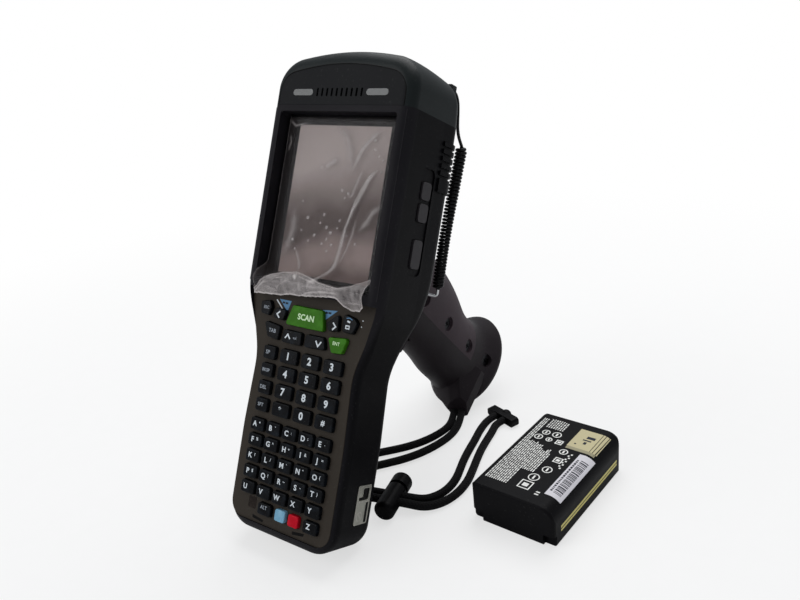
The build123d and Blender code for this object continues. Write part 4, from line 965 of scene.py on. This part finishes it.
def stroke(points, wide):  # outline of a line with thickness, its corners not drawn out past a limit
    points = [Vector(point) for point in points]
    upper, lower = [], []
    for low, spot, high in zip([points[0], *points], points, [*points[1:], points[-1]]):
        one = (spot - low).normalized() if (spot - low).length else (high - spot).normalized()
        two = (high - spot).normalized() if (high - spot).length else one
        middle = (one + two).normalized()
        square = Vector((-middle.y, middle.x)) * wide / 2 / max(0.4, middle.dot(one))
        upper.append(spot + square)
        lower.append(spot - square)
    return [*upper, *reversed(lower)]


def hoop(x, y, radius, count=24):
    turns = [2 * pi * i / count for i in range(count)]
    return [(x + radius * cos(turn), y + radius * sin(turn)) for turn in turns]


def oblong(x0, x1, y0, y1):
    return [(x0, y0), (x1, y0), (x1, y1), (x0, y1)]


def centred(x, y, half, rise):
    return oblong(x - half, x + half, y - rise, y + rise)


def stamp(name, loops, place, finish, body):  # flat print from closed outlines in millimetres
    curve = bpy.data.curves.new(name, "CURVE")
    curve.dimensions = "2D"
    curve.fill_mode = "BOTH"
    curve.extrude = ink["thick"] * mm / 2
    for loop in loops:
        line = curve.splines.new("POLY")
        line.points.add(len(loop) - 1)
        for held, point in zip(line.points, loop):
            held.co = (point[0] * mm, point[1] * mm, 0.0, 1.0)
        line.use_cyclic_u = True
    piece = fix(meshed(placed(name, curve)), place @ Matrix.Translation((0, 0, ink["thick"] * mm / 2)))
    return dress(piece, finish, body)


for finish, marked in legends.items():
    for name, signs in marked.items():
        dress(joined([letter(*sign) for sign in signs], f"{finish}_{name}"), finish, bodyOf[name])
for name, points in chevrons.items():
    stamp(f"chevron_{name}", [stroke(points, ink["chevron"])], onBody, "legend", bodyOf[name])
powerMarks = [stroke(power["bar"], ink["bar"]), *[oblong(*side) for side in power["frame"]]]
stamp("mark_power", powerMarks, onBody, "legend", bodyOf["key_power"])
stamp("arc_power", [stroke(power["arc"], ink["arc"])], onBody, "printBlue", bodyOf["key_power"])
print("legends printed:", sum(len(marked) for marked in legends.values()))

# print and details of the keypad plate
plate = {
    "sunk": 2.0,
    "marks": {
        "printBlue": [
            [(-20.3, 112.0), (-12.7, 112.0), (-14.4, 106.7)],
            [(7.1, 110.8), (15.7, 111.6), (9.3, 106.4)],
        ],
        "legend": [
            # painted highlight: a pale line where the left key's top edge catches the light
            stroke([(-22.1, 111.4), (-16.3, 106.4)], 0.6),
            hoop(30.6, 109.4, 0.3, 10),
            hoop(30.3, 106.6, 0.3, 10),
        ],
        # painted shade: dark patches where the two notches at the plate's lower edge lie in shade
        "well": [
            [(-16.4, 7.9), (-9.1, 7.0), (-9.4, 5.8), (-16.0, 6.4)],
            [(9.3, 7.4), (16.6, 8.4), (16.2, 7.0), (9.6, 6.0)],
        ],
        "plateWindow": [[
            (-20.0, 11.2), (-19.6, 10.6), (-15.4, 10.6), (-14.9, 11.2),
            (-14.9, 15.6), (-15.4, 16.2), (-19.5, 16.2), (-20.0, 15.6),
        ]],
    },
    "onBlue": [
        oblong(-18.2, -16.7, 110.2, 111.1), oblong(-16.3, -14.6, 110.1, 111.0),
        oblong(8.9, 10.1, 109.4, 110.3), oblong(10.5, 12.2, 109.5, 110.4),
    ],
}
onPlate = onBody @ Matrix.Translation((0, 0, -plate["sunk"] * mm))
for finish, loops in plate["marks"].items():
    stamp(f"plate_{finish}", loops, onPlate, finish, "terminal")
onBlue = onPlate @ Matrix.Translation((0, 0, ink["thick"] * mm))
stamp("plate_tiny", plate["onBlue"], onBlue, "printDark", "terminal")

# frame and symbol of the plate at the side of the heel; its outlines are given as along and out
port = {
    "across": 33.45,
    "sunk": 0.5,
    "frame": [
        stroke([(15.2, -15.8), (33.1, -15.7)], 0.4),
        stroke([(33.1, -16.1), (33.1, -25.1)], 0.4),
        stroke([(32.7, -25.2), (26.0, -25.3), (15.2, -25.3)], 0.35),
        stroke([(25.8, -16.1), (25.6, -24.9)], 0.5),
        stroke([(15.3, -16.1), (15.3, -22.6)], 0.4),
        hoop(18.8, -19.0, 2.3),
        hoop(18.8, -19.0, 1.7),
        stroke([(17.9, -19.9), (19.9, -18.2)], 0.7),
    ],
    "shadow": [oblong(15.6, 25.0, -24.7, -22.9)],
    # painted shade in the port's recess
    "well": [oblong(26.6, 31.9, -24.0, -21.1), oblong(26.6, 27.5, -21.1, -17.0)],
}
sideways = Matrix(((0, 0, 1, 0), (1, 0, 0, 0), (0, 1, 0, 0), (0, 0, 0, 1)))
onFlank = onBody @ Matrix.Translation((port["across"] * mm, 0, 0)) @ sideways
inFlank = onFlank @ Matrix.Translation((0, 0, -port["sunk"] * mm))
stamp("port_frame", port["frame"], onFlank, "portFrame", "terminal")
stamp("port_shadow", port["shadow"], onFlank, "well", "terminal")
# a dark sheet sunk into the flank, painted shade in the port's recess
stamp("port_well", port["well"], inFlank, "well", "terminal")
print("keypad plate and port marked")

# print and labels of the battery
# x goes along it from its near end, and s across its top and round its right edge
pack = {
    "place": (66.6, 44.7, 0.0), "turn": 86.3,
    "top": 21.1, "round": 8.0, "bend": 36.7, "side": 44.7, "pieces": 10,
    "stripes": [oblong(6.6, 66.5, 6.1, 7.3), oblong(6.6, 66.5, 7.9, 9.3)],
}
onBattery = Matrix.Translation(Vector(pack["place"]) * mm) @ Matrix.Rotation(radians(pack["turn"]), 4, "Z")
onTop = onBattery @ Matrix.Translation((0, 0, pack["top"] * mm))
onSide = onBattery @ Matrix.Translation((0, -pack["side"] * mm, 0)) @ Matrix.Rotation(pi / 2, 4, "X")
chance = random.Random(4)


def drawn(span):  # a plain number, or one drawn from a span
    return chance.uniform(*span) if isinstance(span, tuple) else span


def picked(sizes):  # a plain number, or one of several
    return chance.choice(sizes) if isinstance(sizes, tuple) else sizes


def wrapped(x0, x1, s0, s1, lift):  # a thin label that follows the battery's rounded edge
    bpy.ops.mesh.primitive_grid_add(x_subdivisions=1, y_subdivisions=pack["pieces"], size=1.0)
    label = bpy.context.active_object
    for vertex in label.data.vertices:
        along = x0 + (x1 - x0) * (vertex.co.x + 0.5)
        s = s1 + (s0 - s1) * (vertex.co.y + 0.5)
        turn = max(0.0, s - pack["bend"]) / pack["round"]
        reach = pack["round"] + lift
        across = -min(s, pack["bend"]) - reach * sin(turn)
        vertex.co = Vector((along, across, pack["top"] - pack["round"] + reach * cos(turn))) * mm
    thicken(label, ink["thick"] * mm)
    return fix(label, onBattery)


def bars(start, end, wide, gap, s0, s1):
    made = []
    while start < end:
        long = picked(wide)
        made.append((start, start + long, s0, s1))
        start += long + picked(gap)
    return made


labels = {
    "label_cream": {"finish": "paperCream", "lift": 0.02, "patches": [(50.5, 67.5, 25.0, 41.5)]},
    "label_dull": {"finish": "paperDull", "lift": 0.02, "patches": [(48.2, 50.5, 25.3, 41.0)]},
    "label_white": {"finish": "paperWhite", "lift": 0.02, "patches": [(10.0, 46.5, 34.5, 43.4)]},
    "label_bars": {
        "finish": "printDark",
        "lift": 0.05,
        "patches": [
            *bars(13.0, 42.0, (0.35, 0.35, 0.6, 0.9), (0.35, 0.5, 0.8), 37.4, 41.6),
            *bars(13.5, 41.0, (0.7, 1.1, 1.5), 0.5, 35.5, 36.6),
        ],
    },
    "label_marks": {
        "finish": "printDark",
        "lift": 0.05,
        "patches": [
            (55.0, 57.2, 31.5, 33.0), (58.2, 59.2, 30.0, 34.5),
            (60.4, 62.6, 31.0, 35.5), (53.2, 54.2, 27.6, 28.6),
        ],
    },
}
for name, label in labels.items():
    patches = [wrapped(*patch, label["lift"]) for patch in label["patches"]]
    dress(joined(patches, name), label["finish"], bodyOf["battery_case"])

printBlocks = [  # rows of dashes in place of words; an end that is a span differs from row to row
    {
        "across": -3.6, "pitch": 1.12, "half": 0.3, "wide": (0.5, 3.2), "gap": (0.35, 0.6), "shortest": 0.6,
        "rows": [(8.0, 68.0)] * 3 + [(8.0, (43.0, 47.0))] * 8 + [(22.0, (38.0, 44.0))] * 6,
    },
    {
        "across": -8.2, "pitch": 1.3, "half": 0.32, "wide": (0.6, 2.2), "gap": 0.5, "shortest": 0.5,
        "rows": [(60.5, 69.0)] * 8,
    },
]
symbols = {  # each one's place and half its width
    "rings": [
        (50.5, -9.0, 2.3), (50.5, -15.0, 1.8), (55.8, -10.6, 2.2), (56.2, -16.6, 2.5), (44.2, -26.6, 2.3),
        (27.0, -26.8, 2.6), (18.6, -24.2, 2.9),
    ],
    "ringLine": 0.55,
    "squares": [(50.6, -20.8, 1.9), (36.4, -27.6, 2.2), (11.6, -23.6, 3.2)],
    "squareLine": 0.6,
    "ticks": [(9.0, 9.8, -32.6, -30.6), (7.2, 8.0, -32.6, -30.6)],
    "chequer": {"count": 9, "from": 30.5, "step": 1.6, "wide": 1.0, "low": -31.8, "high": -30.9},
}


def dashes(place, end, across, block):
    made = []
    while place < end - block["shortest"]:
        wide = min(drawn(block["wide"]), end - place)
        made.append(oblong(place, place + wide, across - block["half"], across + block["half"]))
        place += wide + drawn(block["gap"])
    return made


batteryPrint = []
for block in printBlocks:
    for row, (start, end) in enumerate(block["rows"]):
        batteryPrint += dashes(start, drawn(end), block["across"] - block["pitch"] * row, block)
for x, y, radius in symbols["rings"]:
    batteryPrint += [hoop(x, y, radius), hoop(x, y, radius - symbols["ringLine"])]
    batteryPrint.append(centred(x, y, radius * 0.5, 0.45))
for x, y, half in symbols["squares"]:
    inner = half - symbols["squareLine"]
    batteryPrint += [centred(x, y, half, half), centred(x, y, inner, inner)]
    batteryPrint.append(centred(x, y, half * 0.4, half * 0.45))
batteryPrint += [oblong(*tick) for tick in symbols["ticks"]]
chequer = symbols["chequer"]
for count in range(chequer["count"]):
    x, raised = chequer["from"] + chequer["step"] * count, count % 2
    batteryPrint.append(oblong(x, x + chequer["wide"], chequer["low"] + raised, chequer["high"] + raised))
stamp("battery_print", batteryPrint, onTop, "printWhite", bodyOf["battery_case"])
stamp("battery_stripes", pack["stripes"], onSide, "stripe", bodyOf["battery_case"])
print("labels on the battery:", len(batteryPrint))
